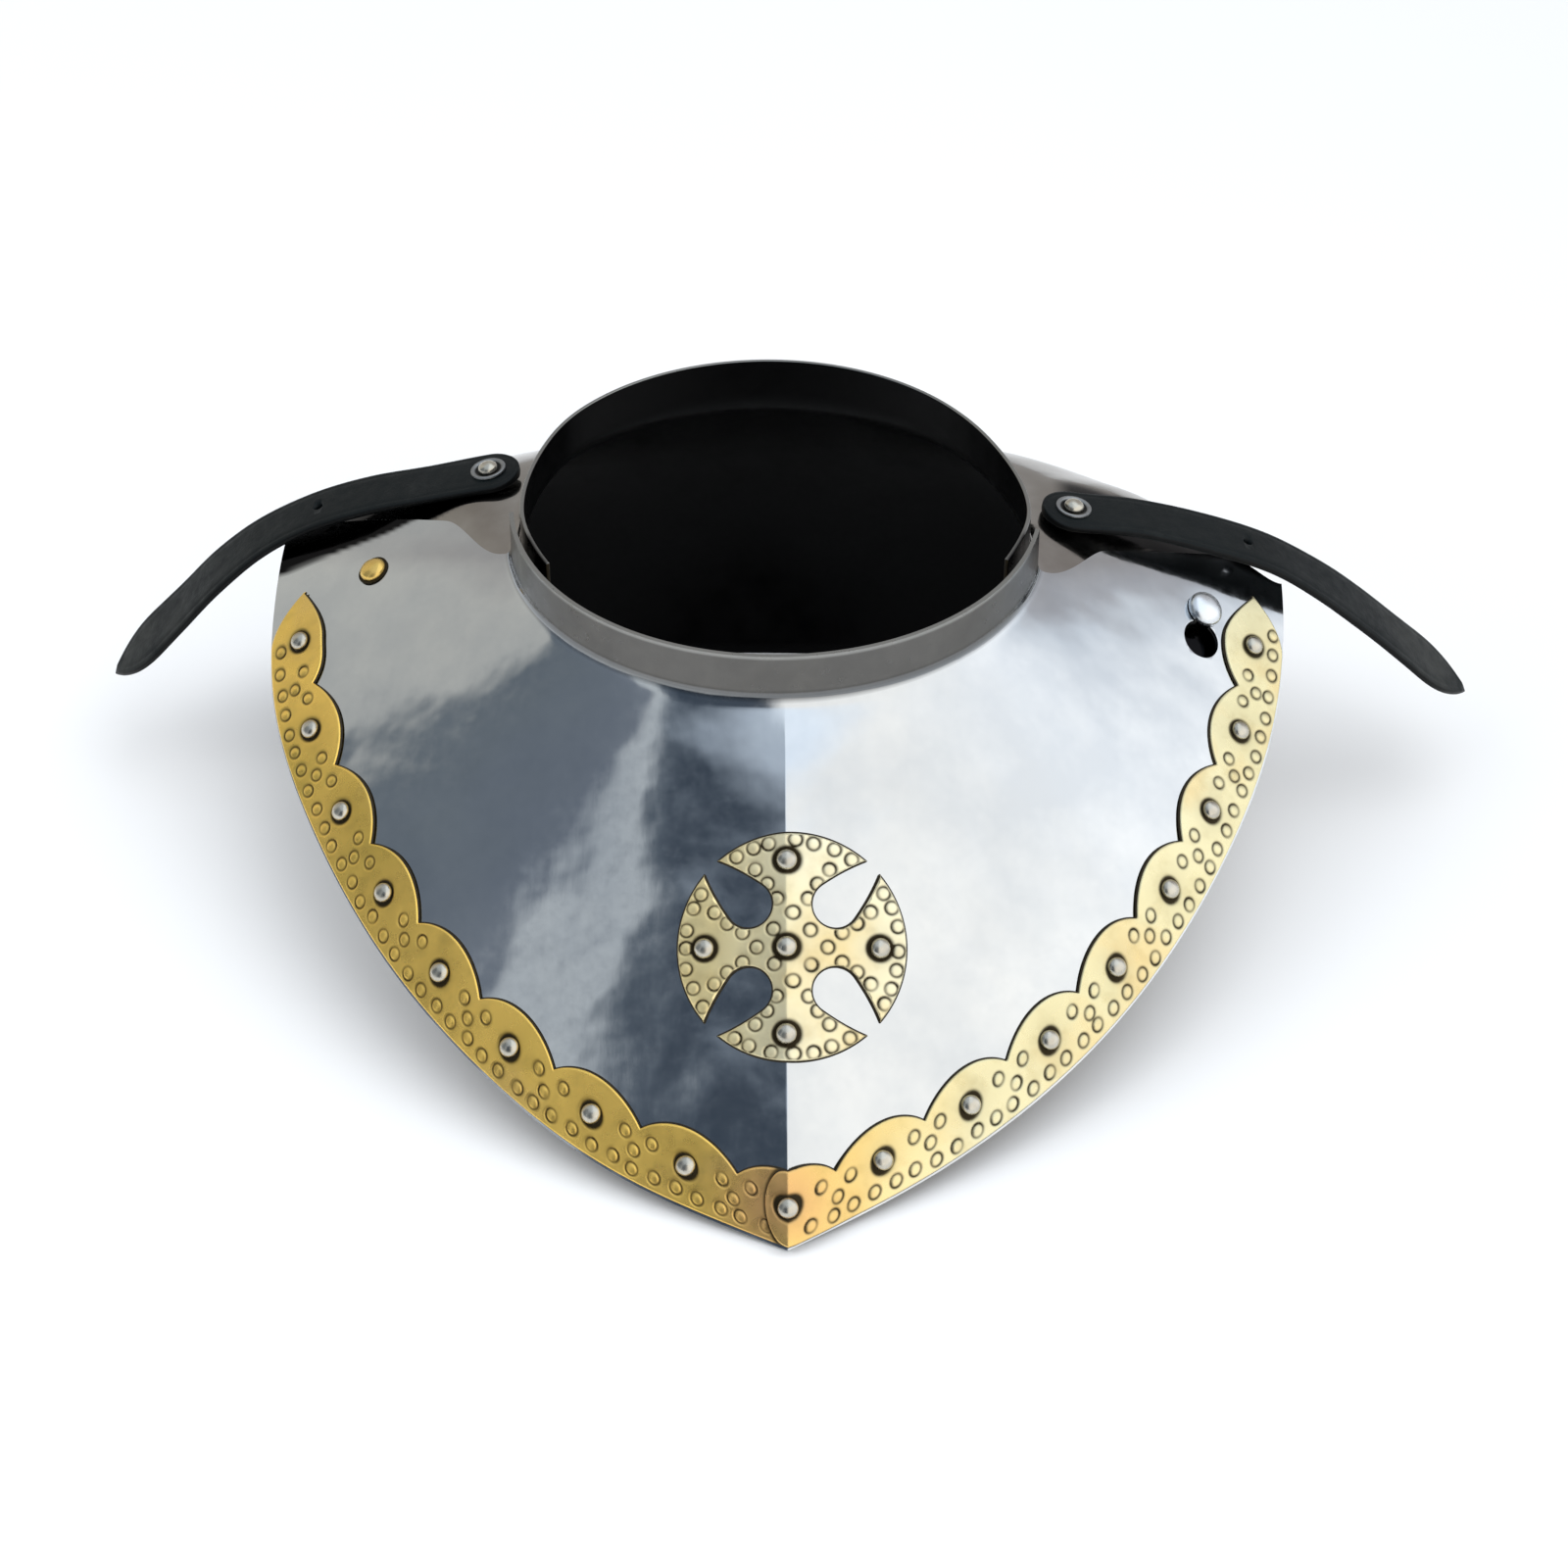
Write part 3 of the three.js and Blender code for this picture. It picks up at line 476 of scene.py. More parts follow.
class Nodes:
    """Short names for building a tree of shader nodes."""

    def __init__(self, tree):
        self.tree = tree

    def add(self, kind, inputs=None, **settings):
        node = self.tree.nodes.new(kind)
        for key, value in settings.items():
            setattr(node, key, value)
        for key, value in (inputs or {}).items():
            self.feed(node.inputs[key], value)
        return node

    def feed(self, socket, value):
        if isinstance(value, bpy.types.NodeSocket):
            self.tree.links.new(value, socket)
        else:
            socket.default_value = (*value, 1.0) if socket.type == "RGBA" else value

    def axis(self, vector, name):
        return self.add("ShaderNodeSeparateXYZ", {"Vector": vector}).outputs[name]

    def ramp(self, value, low, high, to_low=0.0, to_high=1.0, shape="LINEAR"):
        return self.add("ShaderNodeMapRange", {
            "Value": value, "From Min": low, "From Max": high, "To Min": to_low, "To Max": to_high,
        }, interpolation_type=shape).outputs["Result"]

    def math(self, operation, a, b=0.0):
        return self.add("ShaderNodeMath", {0: a, 1: b}, operation=operation).outputs[0]

    def plus(self, a, b):
        return self.math("ADD", a, b)

    def times(self, a, b):
        return self.math("MULTIPLY", a, b)

    def mix(self, share, a, b):
        return self.add("ShaderNodeMix", {"Factor": share, 6: a, 7: b}, data_type="RGBA").outputs[2]

    def colors_round(self, share, stops):
        """Colours at degrees round the room; share runs from 0 at -180 degrees to 1 at 180."""
        node = self.add("ShaderNodeValToRGB", {"Fac": share})
        elements = node.color_ramp.elements
        for element, (degrees, color) in zip(elements, (stops[0], stops[-1])):
            element.position, element.color = (degrees + 180) / 360, (*color, 1.0)
        for degrees, color in stops[1:-1]:
            elements.new((degrees + 180) / 360).color = (*color, 1.0)
        return node.outputs["Color"]


class Material(Nodes):
    """A material's nodes; its patterns are laid out in the row frame, in metres."""

    def __init__(self, name):
        self.material = bpy.data.materials.new(name)
        self.material.use_nodes = True
        super().__init__(self.material.node_tree)
        self.shader = self.tree.nodes["Principled BSDF"]
        self.coordinates = self.add("ShaderNodeTexCoord").outputs["Object"]

    def set(self, **values):
        for key, value in values.items():
            self.feed(self.shader.inputs[key.replace("_", " ")], value)

    def noise(self, scale, detail=3.0, roughness=0.5, stretch=None):
        vector = self.coordinates
        if stretch:
            vector = self.add("ShaderNodeMapping", {"Vector": vector, "Scale": stretch}).outputs["Vector"]
        return self.add("ShaderNodeTexNoise", {
            "Vector": vector, "Scale": scale, "Detail": detail, "Roughness": roughness}).outputs["Fac"]

    def dent(self, place, radius, height):
        """Height of one soft swelling: its middle and radius in mm, in the neck frame."""
        away = self.add("ShaderNodeVectorMath", {0: self.coordinates, 1: tuple(row_frame(place))},
                        operation="DISTANCE").outputs["Value"]
        return self.ramp(away, 0.0, radius / 1000, height, 0.0, "SMOOTHERSTEP")

    def bump(self, height, distance, strength=1.0):
        bump = self.add("ShaderNodeBump", {"Height": height, "Distance": distance, "Strength": strength})
        self.set(Normal=bump.outputs["Normal"])

    # the mesh's darkening attribute: real dirt in some places, painted shade in others
    def grime_and_shade(self):
        return self.add("ShaderNodeAttribute", attribute_name="grime_and_shade").outputs["Fac"]


def polished_steel(name, light, shade, satin_and_shade_low, satin_and_shade_high):
    """Mirror-polished sheet with a satin collar; the straps' shadow is painted black on it from the mesh's
    dirt-and-shade attribute.
    """
    n = Material(name)
    height = n.axis(n.coordinates, "Z")
    foot = NECK[2] / 1000
    collar = n.ramp(height, foot + 0.0008, foot + 0.0022)
    # painted highlight: the collar's top edge is painted lighter
    rim = n.ramp(height, foot + 0.0127, foot + 0.0134)
    # painted shadow: a dark line round the collar's foot, in the corner under the collar
    collar_foot_shadow = n.ramp(height, foot - 0.0008, foot + 0.0006)
    collar_foot_shadow = n.times(collar_foot_shadow, n.ramp(height, foot + 0.003, foot + 0.0012))
    cloud = n.ramp(n.noise(18, 5, 0.6), 0.38, 0.66)
    tone = n.mix(cloud, shade, light)
    tone = n.mix(n.ramp(n.noise(60, 5, 0.65), 0.5, 0.8, 0, 0.5), tone, shade)
    # the satin collar's tone: its own duller finish, and darker still as a painted dark reflection of the
    # room
    satin = n.mix(n.noise(90, 5, 0.6), satin_and_shade_low, satin_and_shade_high)
    tone = n.mix(collar, tone, satin)
    # painted highlight along the collar's top edge
    tone = n.mix(n.times(rim, 0.6), tone, (0.42, 0.42, 0.40))
    tone = n.mix(n.times(collar_foot_shadow, 0.7), tone, (0.03, 0.028, 0.025))
    # painted shadow of the straps: the steel is turned black under them
    tone = n.mix(n.grime_and_shade(), tone, (0.006, 0.006, 0.007))
    rough = n.ramp(n.noise(300, 6, 0.6), 0.3, 0.75, 0.08, 0.18)
    n.set(Base_Color=tone, Metallic=1.0, Roughness=n.plus(rough, n.times(collar, 0.18)))
    beaten = n.plus(n.times(n.noise(20, 2), 2.2), n.times(n.noise(60, 2), 0.28))
    for dent in STEEL_DENTS:
        beaten = n.plus(beaten, n.dent(*dent))
    scratches = n.times(n.noise(700, 2, stretch=(1.0, 0.12, 0.3)), 0.007)
    n.bump(n.plus(beaten, scratches), 0.001)
    return n.material


# black paint of the plates' inner faces, made darker than paint: painted shade inside the gorget
def black_paint_and_shade():
    n = Material("black_paint_and_shade")
    mottle = n.noise(120, 5)
    n.set(Base_Color=n.mix(mottle, (0.0006, 0.0006, 0.0007), (0.0016, 0.0016, 0.0018)),
          Roughness=n.ramp(mottle, 0.3, 0.8, 0.28, 0.5), Specular_IOR_Level=0.09)
    n.bump(n.noise(900, 3), 0.00004, 0.4)
    return n.material


def toned_brass(name, gold, light, orange, change, satin):
    """Handled brass: gold left and paler right of the change, the paler right being painted light from the
    bright room; orange in patches and at the point.
    """
    n = Material(name)
    grime_and_shade = n.grime_and_shade()
    # painted light: the right side, where the room is bright, is made paler
    lit_side_paleness = n.ramp(n.axis(n.coordinates, "X"), *change)
    olive = n.ramp(n.noise(13, 2), 0.46, 0.60)
    olive = n.times(olive, n.math("SUBTRACT", 0.45, n.times(lit_side_paleness, 0.3)))
    tone = n.mix(olive, n.mix(lit_side_paleness, gold, light), (0.50, 0.38, 0.06))
    tone = n.mix(n.times(n.ramp(n.noise(30, 4), 0.50, 0.72), 0.75), tone, orange)
    tone = n.mix(n.dent((0, -170, -93), 24, 0.75), tone, (0.80, 0.44, 0.20))
    tone = n.mix(n.ramp(n.noise(160, 5), 0.5, 0.9, 0, 0.4), tone, (0.34, 0.24, 0.06))
    tone = n.mix(grime_and_shade, tone, (0.030, 0.021, 0.008))
    rough = n.ramp(n.noise(220, 5), 0.3, 0.8, satin, satin + 0.16)
    n.set(Base_Color=tone, Metallic=0.82, Roughness=n.plus(rough, n.times(grime_and_shade, 0.3)))
    n.bump(n.plus(n.noise(650, 4), n.times(n.noise(60, 2), 6.0)), 0.00004, 0.5)
    return n.material


# dark cut edges of the brass and dark ends of the plates: tarnish, and painted shadow for the dark contact
# line along them
def edge_tarnish_and_shadow():
    n = Material("edge_tarnish_and_shadow")
    tone = n.mix(n.noise(300, 4), (0.012, 0.010, 0.007), (0.05, 0.036, 0.016))
    n.set(Base_Color=tone, Metallic=0.6, Roughness=0.55)
    return n.material


def rivet_steel():
    n = Material("rivet_steel")
    tone = n.mix(n.noise(400, 4), (0.44, 0.41, 0.34), (0.66, 0.63, 0.55))
    n.set(Base_Color=tone, Metallic=1.0, Roughness=n.ramp(n.noise(600, 4), 0.3, 0.8, 0.22, 0.42))
    n.bump(n.noise(900, 3), 0.00005, 0.3)
    return n.material


def stud_steel():
    n = Material("stud_steel")
    tone = n.mix(n.noise(300, 4), (0.70, 0.74, 0.78), (0.80, 0.83, 0.85))
    n.set(Base_Color=tone, Metallic=1.0, Roughness=n.ramp(n.noise(600, 4), 0.3, 0.8, 0.24, 0.36))
    return n.material


def dull_steel():
    n = Material("dull_steel")
    tone = n.mix(n.noise(500, 4), (0.22, 0.225, 0.23), (0.36, 0.37, 0.37))
    # painted shade in the washer's recess
    tone = n.mix(n.grime_and_shade(), tone, (0.01, 0.01, 0.01))
    n.set(Base_Color=tone, Metallic=0.9, Roughness=n.ramp(n.noise(800, 3), 0.3, 0.8, 0.35, 0.5))
    return n.material


def black_leather():
    """Dressed hide, a little scuffed all over and worn grey towards the straps' tips."""
    n = Material("black_leather")
    grain = n.add("ShaderNodeTexVoronoi", {"Vector": n.coordinates, "Scale": 1500.0}).outputs["Distance"]
    pores = n.plus(n.times(grain, 0.5), n.noise(500, 5))
    scuffs = n.ramp(n.noise(70, 6, 0.65), 0.58, 0.8)
    away = n.math("ABSOLUTE", n.axis(n.coordinates, "X"))
    worn = n.times(n.ramp(away, 0.155, 0.195), n.ramp(n.noise(55, 4), 0.42, 0.62))
    tone = n.mix(n.noise(45, 4), (0.0022, 0.0038, 0.0044), (0.0048, 0.0078, 0.0086))
    tone = n.mix(n.times(scuffs, 0.5), tone, (0.025, 0.028, 0.027))
    tone = n.mix(n.times(worn, 0.6), tone, (0.035, 0.037, 0.034))
    tone = n.mix(n.grime_and_shade(), tone, (0.0015, 0.0015, 0.0015))
    n.set(Base_Color=tone, Roughness=n.ramp(n.noise(300, 4), 0.3, 0.8, 0.40, 0.6), Specular_IOR_Level=0.16)
    n.bump(pores, 0.00012, 0.5)
    return n.material


def pale_floor():
    n = Material("pale_floor")
    tone = n.mix(n.noise(3, 2), (0.90, 0.90, 0.895), (0.93, 0.93, 0.93))
    n.set(Base_Color=tone, Roughness=0.9, Specular_IOR_Level=0.1)
    return n.material


steel = polished_steel("polished_steel", (0.68, 0.70, 0.71), (0.54, 0.57, 0.60),
                       (0.115, 0.112, 0.108), (0.17, 0.165, 0.155))
warm_steel = polished_steel("warm_steel", (0.50, 0.485, 0.465), (0.34, 0.32, 0.295),
                            (0.07, 0.068, 0.066), (0.12, 0.115, 0.11))
paint_and_shade = black_paint_and_shade()
# the paler light colours stand for the brightly lit right side: painted light
brass = toned_brass("toned_brass", (1.0, 0.66, 0.15), (0.78, 0.72, 0.46), (0.74, 0.50, 0.18),
                    (-0.01, 0.05), 0.22)
pale_brass = toned_brass("pale_brass", (1.0, 0.84, 0.44), (0.93, 0.87, 0.63), (0.76, 0.54, 0.18),
                         (-0.02, 0.004), 0.36)
tarnish_and_shadow = edge_tarnish_and_shadow()
rivets = rivet_steel()
stud_metal = stud_steel()
washers = dull_steel()
leather = black_leather()


def finish_piece(piece, body, slot, *nodes):
    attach(piece, body)
    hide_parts(*nodes)


# ---- plates

def collared_grid(angles, reaches, depth):
    """A plate's face at a depth under the master surface: collar wall, rounded foot, then the flare.

    angles is columns by rows, reaches has the same shape; the collar's rows use the first row's angles.
    """
    at_neck = angles[:, 0]
    foot = neck_point(wrapped(at_neck))
    wall = foot - unit(foot * (1, 1, 0)) * depth[:, None]
    rows = []
    for height in (COLLAR_HEIGHT, 13.4, 12, 9.5, 7, 5, FILLET + 0.8, FILLET):
        row = wall.copy()
        row[:, 2] = height
        rows.append(row)
    corner = wall.copy()
    corner[:, 2] = -0.55 * depth
    start = FILLET / np.linalg.norm(edge_point(wrapped(at_neck)) - foot, axis=-1)
    above, below = rows[-1], off_surface(at_neck, start, -depth)
    for t in (0.18, 0.36, 0.54, 0.72, 0.88, 1.0):
        rows.append((1 - t) ** 2 * above + 2 * t * (1 - t) * corner + t * t * below)
    spread = lerp(start[:, None] * 1.35, reaches[:, -1:], np.linspace(0, 1, reaches.shape[1]))
    face = off_surface(angles, spread, -np.broadcast_to(depth[:, None], angles.shape))
    face = face + normal(angles, spread) * (waves(face) * smoothstep(spread, 0.04, 0.2))[..., None]
    return np.concatenate([np.stack(rows, 1), face], 1)


def painted_strap_shadow(points):
    """Painted shadow from 0 to 1 where the straps lie close over the plates, black on the steel."""
    x, y = points[..., 0], points[..., 1]
    front = np.where(x < 0, np.interp(x, *LEFT_STRAP_SHADOW[:2]), np.interp(x, *RIGHT_STRAP_SHADOW[:2]))
    depth = np.where(x < 0, LEFT_STRAP_SHADOW[2], RIGHT_STRAP_SHADOW[2])
    band = smoothstep(y, front, front + 1.8) * (1 - smoothstep(y, front + depth, front + depth + 5))
    return band * smoothstep(np.abs(x), *STRAP_SHADOW_START)


# painted shade on a plate's outer face: the straps' shadow, or the extra where that is more; the inner face
# stays clean
def plate_painted_shade(outer, inner, extra=0.0):
    clean = np.zeros(inner.shape[0] * inner.shape[1])
    return np.concatenate([np.maximum(painted_strap_shadow(outer), extra).ravel(), clean])


def front_plate():
    half, rows = 150, 120
    share = np.linspace(0, 1, half + 1) ** 1.25
    share = np.concatenate([-share[:0:-1], share])
    reach = np.linspace(0, 1, rows)
    near, far, trim = (
        np.where(share < 0, left, right)[:, None] for left, right in zip(FRONT_LEFT, FRONT_RIGHT))
    limit = lerp(near, far, smoothstep(reach, 0, FRONT_TURN_REACH))
    limit = limit - trim * smoothstep(reach, FRONT_TRIM_REACH, 1)
    angles = np.abs(share)[:, None] * limit
    reaches = np.broadcast_to(reach, angles.shape)
    outer = collared_grid(angles, reaches, np.zeros(len(share)))
    inner = collared_grid(angles, reaches, np.full(len(share), STEEL))
    points, faces, slots = shell(outer, inner)
    piece = add_object("front_plate_steel", points, faces, [steel, paint_and_shade, steel, tarnish_and_shadow], slots,
                       grime_and_shade=plate_painted_shade(outer, inner))
    middle = ((STUD_SPOT[0] + KEYHOLE_SPOT[0]) / 2, STUD_SPOT[1])
    neck = STUD_NECK_RADIUS + HOLE_PLAY
    cut_away(piece, [
        cylinder_cutter(KEYHOLE_RADIUS, frame_at(KEYHOLE_SPOT)),
        box_cutter((4, neck, 8), frame_at(middle)),
        cylinder_cutter(neck, frame_at(STUD_SPOT)),
    ])
    round_edges(piece, PLATE_ROUNDING)
    finish_piece(piece, "front", "plate_steel", "front_plate")


def back_tuck(angle):
    """How far the back plate's outer face lies under the master surface."""
    turn = np.abs(wrapped(angle))
    return lerp(TUCK_AT_TONGUE, TUCK_AT_SHOULDER, smoothstep(turn, TONGUE_ANGLE, SHOULDER_ANGLE))


def back_plate():
    columns, rows = 260, 90
    angle = np.linspace(TONGUE_ANGLE, 360 - TONGUE_ANGLE, columns)
    turn = np.abs(wrapped(angle))
    last = lerp(TONGUE_REACH, 1, smoothstep(turn, *TONGUE_END_TURN))
    angles = np.repeat(angle[:, None], rows, 1)
    reaches = last[:, None] * np.linspace(0, 1, rows)
    tuck = back_tuck(angle)
    grids = []
    for depth in (tuck, tuck + STEEL):
        grid = collared_grid(angles, reaches, depth)
        grid[..., 2] = np.maximum(grid[..., 2], FLOOR)
        grid[turn >= BACK_FOOT_ANGLE, -1, 2] = FLOOR
        grids.append(grid)
    points, faces, slots = shell(*grids)
    # painted shade: the back plate's tongue, under the front plate and the right strap, is painted black
    tongue_shade = (1 - smoothstep(turn, *TONGUE_SHADE_TURN))[:, None]
    piece = add_object("back_plate_steel", points, faces, [warm_steel, paint_and_shade, warm_steel, tarnish_and_shadow], slots,
                       grime_and_shade=plate_painted_shade(*grids, tongue_shade))
    round_edges(piece, PLATE_ROUNDING)
    finish_piece(piece, "back", "plate_steel", "back_plate")


# ---- punch-marks

def wobble(seed):
    """A repeatable number from -1 to 1."""
    return 2 * ((math.sin(seed * 12.9898) * 43758.5453) % 1) - 1


def stamped(x, y, rings, heads):
    """Height in mm and grime from 0 to 1 of a brass sheet struck with ring punches round its rivets."""
    height, grime_and_shade = np.zeros_like(x), np.zeros_like(x)
    for k, (ring_x, ring_y) in enumerate(rings):
        near = np.hypot(x - ring_x, y - ring_y) < 2 * RING_RADIUS
        dx, dy = x[near] - ring_x, y[near] - ring_y
        radius = np.hypot(dx, dy)
        lean = 1 + 0.45 * np.cos(np.arctan2(dy, dx) - 6 * wobble(k + 0.3)) * abs(wobble(k + 0.7))
        groove = np.exp(-((radius - RING_RADIUS) / RING_WIDTH) ** 2) * lean
        height[near] += 0.16 * np.exp(-(radius / 1.1) ** 2) - RING_DEPTH * groove
        grime_and_shade[near] += 0.95 * groove
    for head_x, head_y in heads:
        near = np.hypot(x - head_x, y - head_y) < 3 * MOAT_RADIUS
        radius = np.hypot(x[near] - head_x, y[near] - head_y)
        moat = np.exp(-((radius - MOAT_RADIUS) / MOAT_WIDTH) ** 2)
        height[near] -= MOAT_DEPTH * moat
        grime_and_shade[near] += np.where(radius < MOAT_RADIUS, 1.0, moat)
        grime_and_shade[near] += 0.16 * np.exp(-(radius / 6) ** 2)
    return height, np.clip(grime_and_shade, 0, 1)


def rounded_rim(inset):
    """How far a sheet's face drops at a distance from its cut edge."""
    return RIM_DROP * (1 - np.sqrt(1 - (1 - np.clip(inset / RIM_WIDTH, 0, 1)) ** 2))


# ---- border

def border_length(angle):
    return np.linalg.norm(surface(angle, 1.0) - surface(angle, 0.5), axis=-1) * 2


def border_reach(angle, depth):
    return 1 - depth / border_length(angle)


angle_along = {}
for side in SIDES:
    turns = np.arange(0, 93.0)
    line = surface(side * turns, border_reach(side * turns, RIVET_INSET))
    lengths = np.concatenate([[0], np.cumsum(np.linalg.norm(np.diff(line, axis=0), axis=1))])
    angle_along[side] = natural_spline(lengths, turns)


def signed_angle(side, distance):
    """Angle at a distance from the ridge along one half; before the ridge it is the other half's."""
    away = np.abs(distance)
    return np.where(distance < 0, -side * angle_along[-side](away), side * angle_along[side](away))


def scallop_depth(distance, pitch):
    radius = ((pitch / 2) ** 2 + SCALLOP_RISE ** 2) / (2 * SCALLOP_RISE)
    along = np.abs(distance)
    across = along - pitch * np.round(along / pitch)
    return CUSP_DEPTH + np.sqrt(radius ** 2 - across ** 2) - (radius - SCALLOP_RISE)


def border_rings(side):
    """Ring punches of one half: a wandering row along the edge and three by each cusp."""
    rings = []
    for k in range(1, EDGE_RINGS + 1):
        along = k * EDGE_RING_PITCH + 0.5 * wobble(k + side)
        rings.append((along, EDGE_RING_DEPTH + 0.55 * wobble(3.1 * k + side)))
    for k in range(SCALLOPS):
        cusp = (k + 0.5) * RIVET_PITCH[side]
        for step, depth in CUSP_RINGS:
            along = cusp + step + 0.4 * wobble(k * 1.7 + step + side)
            rings.append((along, depth + 0.4 * wobble(k + depth)))
    return rings


def lap_shadow(along, depth, arch):
    """Painted shadow and dirt on the left half along the rounded end of the right half, which laps over it.
    """
    reach = np.where(depth < RIVET_INSET, RIVET_INSET - BORDER_INSET, arch - RIVET_INSET)
    return 0.95 * np.exp(-((np.hypot(along / LAP, (depth - RIVET_INSET) / reach) - 1.07) / 0.09) ** 2)


def border_edges(side, distance):
    """How deep one half's outer edge, its inner edge and its arches lie from the plate's edge."""
    pitch = RIVET_PITCH[side]
    last_rivet = SCALLOPS * pitch
    cap = np.sqrt(1 - np.clip(-distance / LAP, 0, 0.99) ** 2)
    tail = np.clip((distance - last_rivet) / TAIL_LENGTH, 0, 1)
    lobe = lerp(1, END_LOBE[side], smoothstep(distance, last_rivet - pitch / 2, last_rivet))
    arch = lerp(RIVET_INSET, scallop_depth(np.minimum(distance, last_rivet), pitch), lobe)
    outer = lerp(lerp(RIVET_INSET, BORDER_INSET, cap), RIVET_INSET, tail ** 1.6)
    inner = lerp(lerp(RIVET_INSET, arch, cap), RIVET_INSET, tail ** 2)
    return outer, np.maximum(outer + LEAST_WIDTH, inner), arch


def border_half(side):
    end = SCALLOPS * RIVET_PITCH[side] + TAIL_LENGTH
    lap = -LAP * np.cos(np.linspace(0, 0.5 * math.pi, 24))
    distance = np.concatenate([lap[:-1], np.arange(0, end - 0.2, 0.34), [end]])
    outer_edge, inner_edge, arch = (depth[:, None] for depth in border_edges(side, distance))
    turn = signed_angle(side, distance)[:, None]
    lift = (BRASS + GAP) * (1 - smoothstep(distance, *LAP_SETTLES)) * (side > 0)

    def grid(rows, height, inset=0.0):
        slack = np.minimum(inset, 0.4 * (inner_edge - outer_edge))
        depth = lerp(inner_edge - slack, outer_edge + 0.4 * slack, rows[None, :])
        angle = np.broadcast_to(turn, depth.shape)
        return off_surface(angle, border_reach(angle, depth), height + lift[:, None])

    share = np.linspace(0, 1, 62)
    share = 0.35 * share + 0.65 * (1 - np.cos(math.pi * share)) / 2
    depth = lerp(inner_edge, outer_edge, share[None, :])
    along = np.broadcast_to(distance[:, None], depth.shape)
    heads = [(k * RIVET_PITCH[side], RIVET_INSET) for k in range(SCALLOPS + 1)]
    relief, grime_and_shade = stamped(along, depth, border_rings(side), heads)
    inset = np.minimum(inner_edge - depth, depth - outer_edge)
    inset = np.minimum(inset, 0.6 * np.minimum(along + LAP, end - along))
    relief = relief * smoothstep(inset, 0, 0.8) - rounded_rim(inset)
    grime_and_shade = grime_and_shade * smoothstep(inset, 0.1, 0.9)
    outer, under = grid(share, GAP + BRASS + relief, EDGE_BEVEL), grid(np.linspace(0, 1, 4), GAP)
    if side < 0:
        grime_and_shade = np.maximum(grime_and_shade, lap_shadow(along, depth, arch))
        outer, under, grime_and_shade = outer[::-1], under[::-1], grime_and_shade[::-1]
    points, faces, slots = shell(outer, under)
    grime_and_shade = np.concatenate([grime_and_shade.ravel(), np.full(len(points) - grime_and_shade.size, UNDERSIDE_GRIME_AND_SHADE)])
    piece = add_object(f"border_{SIDES[side]}_brass", points, faces, [brass, brass, tarnish_and_shadow, tarnish_and_shadow], slots,
                       grime_and_shade=grime_and_shade)
    finish_piece(piece, "front", "trim_brass", f"border_{SIDES[side]}")


# ---- roundel

ridge_start = surface(0.0, ROUNDEL_REACH)
ridge_line = surface(0.0, 1.0) - surface(0.0, 0.2)
ridge_length = np.linalg.norm(ridge_line) / 0.8
ridge_line = unit(ridge_line)


def beside_ridge(x, drop):
    """Angle and reach of points beside the ridge: x to the side, drop down the ridge, in mm."""
    angle = x / 2
    reach = ROUNDEL_REACH + drop / ridge_length
    for _ in range(10):
        offset = surface(angle, reach) - ridge_start
        reach = reach + (drop - offset @ ridge_line) / ridge_length
        angle = angle + (x - offset[..., 0]) / 2.1
    return angle, reach


def arc(radius, start, end, count):
    return [radius * np.array((math.cos(a), math.sin(a))) for a in np.linspace(start, end, count)]


def teardrop():
    """Outline of one cut-out, drawn towards +X from its bulb's centre: rim end, bulb, rim end."""
    mouth = np.array((ROUNDEL_RADIUS - CUTOUT_DISTANCE, CUTOUT_MOUTH))
    turn = CUTOUT_SHOULDER_RADIANS
    bulb = arc(CUTOUT_RADIUS, turn, 2 * math.pi - turn, 44)
    side = [(1 - t) ** 2 * mouth + 2 * t * (1 - t) * np.array(CUTOUT_SHOULDER) + t * t * bulb[0]
            for t in np.linspace(0, 1, 24)]
    return np.array(side + bulb[1:-1] + [point * (1, -1) for point in side[::-1]])


def roundel_outline():
    """The pierced disc's outline: the rim between mouths, then round each cut-out."""
    outline = []
    drop = teardrop() + (CUTOUT_DISTANCE, 0)
    drop = drop[np.hypot(drop[:, 0], drop[:, 1]) < ROUNDEL_RADIUS]
    first = math.atan2(drop[0][1], drop[0][0])
    for k in range(4):
        turn = math.radians(45 + 90 * k)
        outline += arc(ROUNDEL_RADIUS, turn - math.radians(90) + first, turn - first, 70)
        spin = np.array(((math.cos(turn), math.sin(turn)), (-math.sin(turn), math.cos(turn))))
        outline += list(drop[::-1] @ spin)
    return np.array(outline)


def distance_to(outline, points):
    """Least distance from each point to the closed outline."""
    least = np.full(len(points), 1e9)
    for a, b in zip(outline, np.roll(outline, -1, 0)):
        along = b - a
        t = np.clip((points - a) @ along / max(along @ along, 1e-9), 0, 1)
        least = np.minimum(least, np.linalg.norm(points - a - t[:, None] * along, axis=1))
    return least


# places of the roundel's rivets: to the side of the ridge, and down from its middle
ROUNDEL_RIVETS = {
    name: (ROUNDEL_RIVET_RADIUS * x + ROUNDEL_SIDE * abs(x), ROUNDEL_RIVET_RADIUS * drop)
    for name, x, drop in (
        ("middle", 0, 0), ("top", 0, -1), ("right", 1, 0), ("bottom", 0, 1), ("left", -1, 0))}


def roundel_rings():
    rings = []
    for k in range(4):
        turn = 90 * k
        for step in RIM_RINGS:
            radius = RIM_RING_DISTANCE + 0.3 * wobble(k + step)
            rings.append((radius, turn + step + 1.5 * wobble(step + 2 * k)))
        for radius, step in ARM_RINGS:
            rings.append((radius + 0.3 * wobble(radius + k), turn + step))
    return [(r * math.cos(math.radians(a)), r * math.sin(math.radians(a))) for r, a in rings]


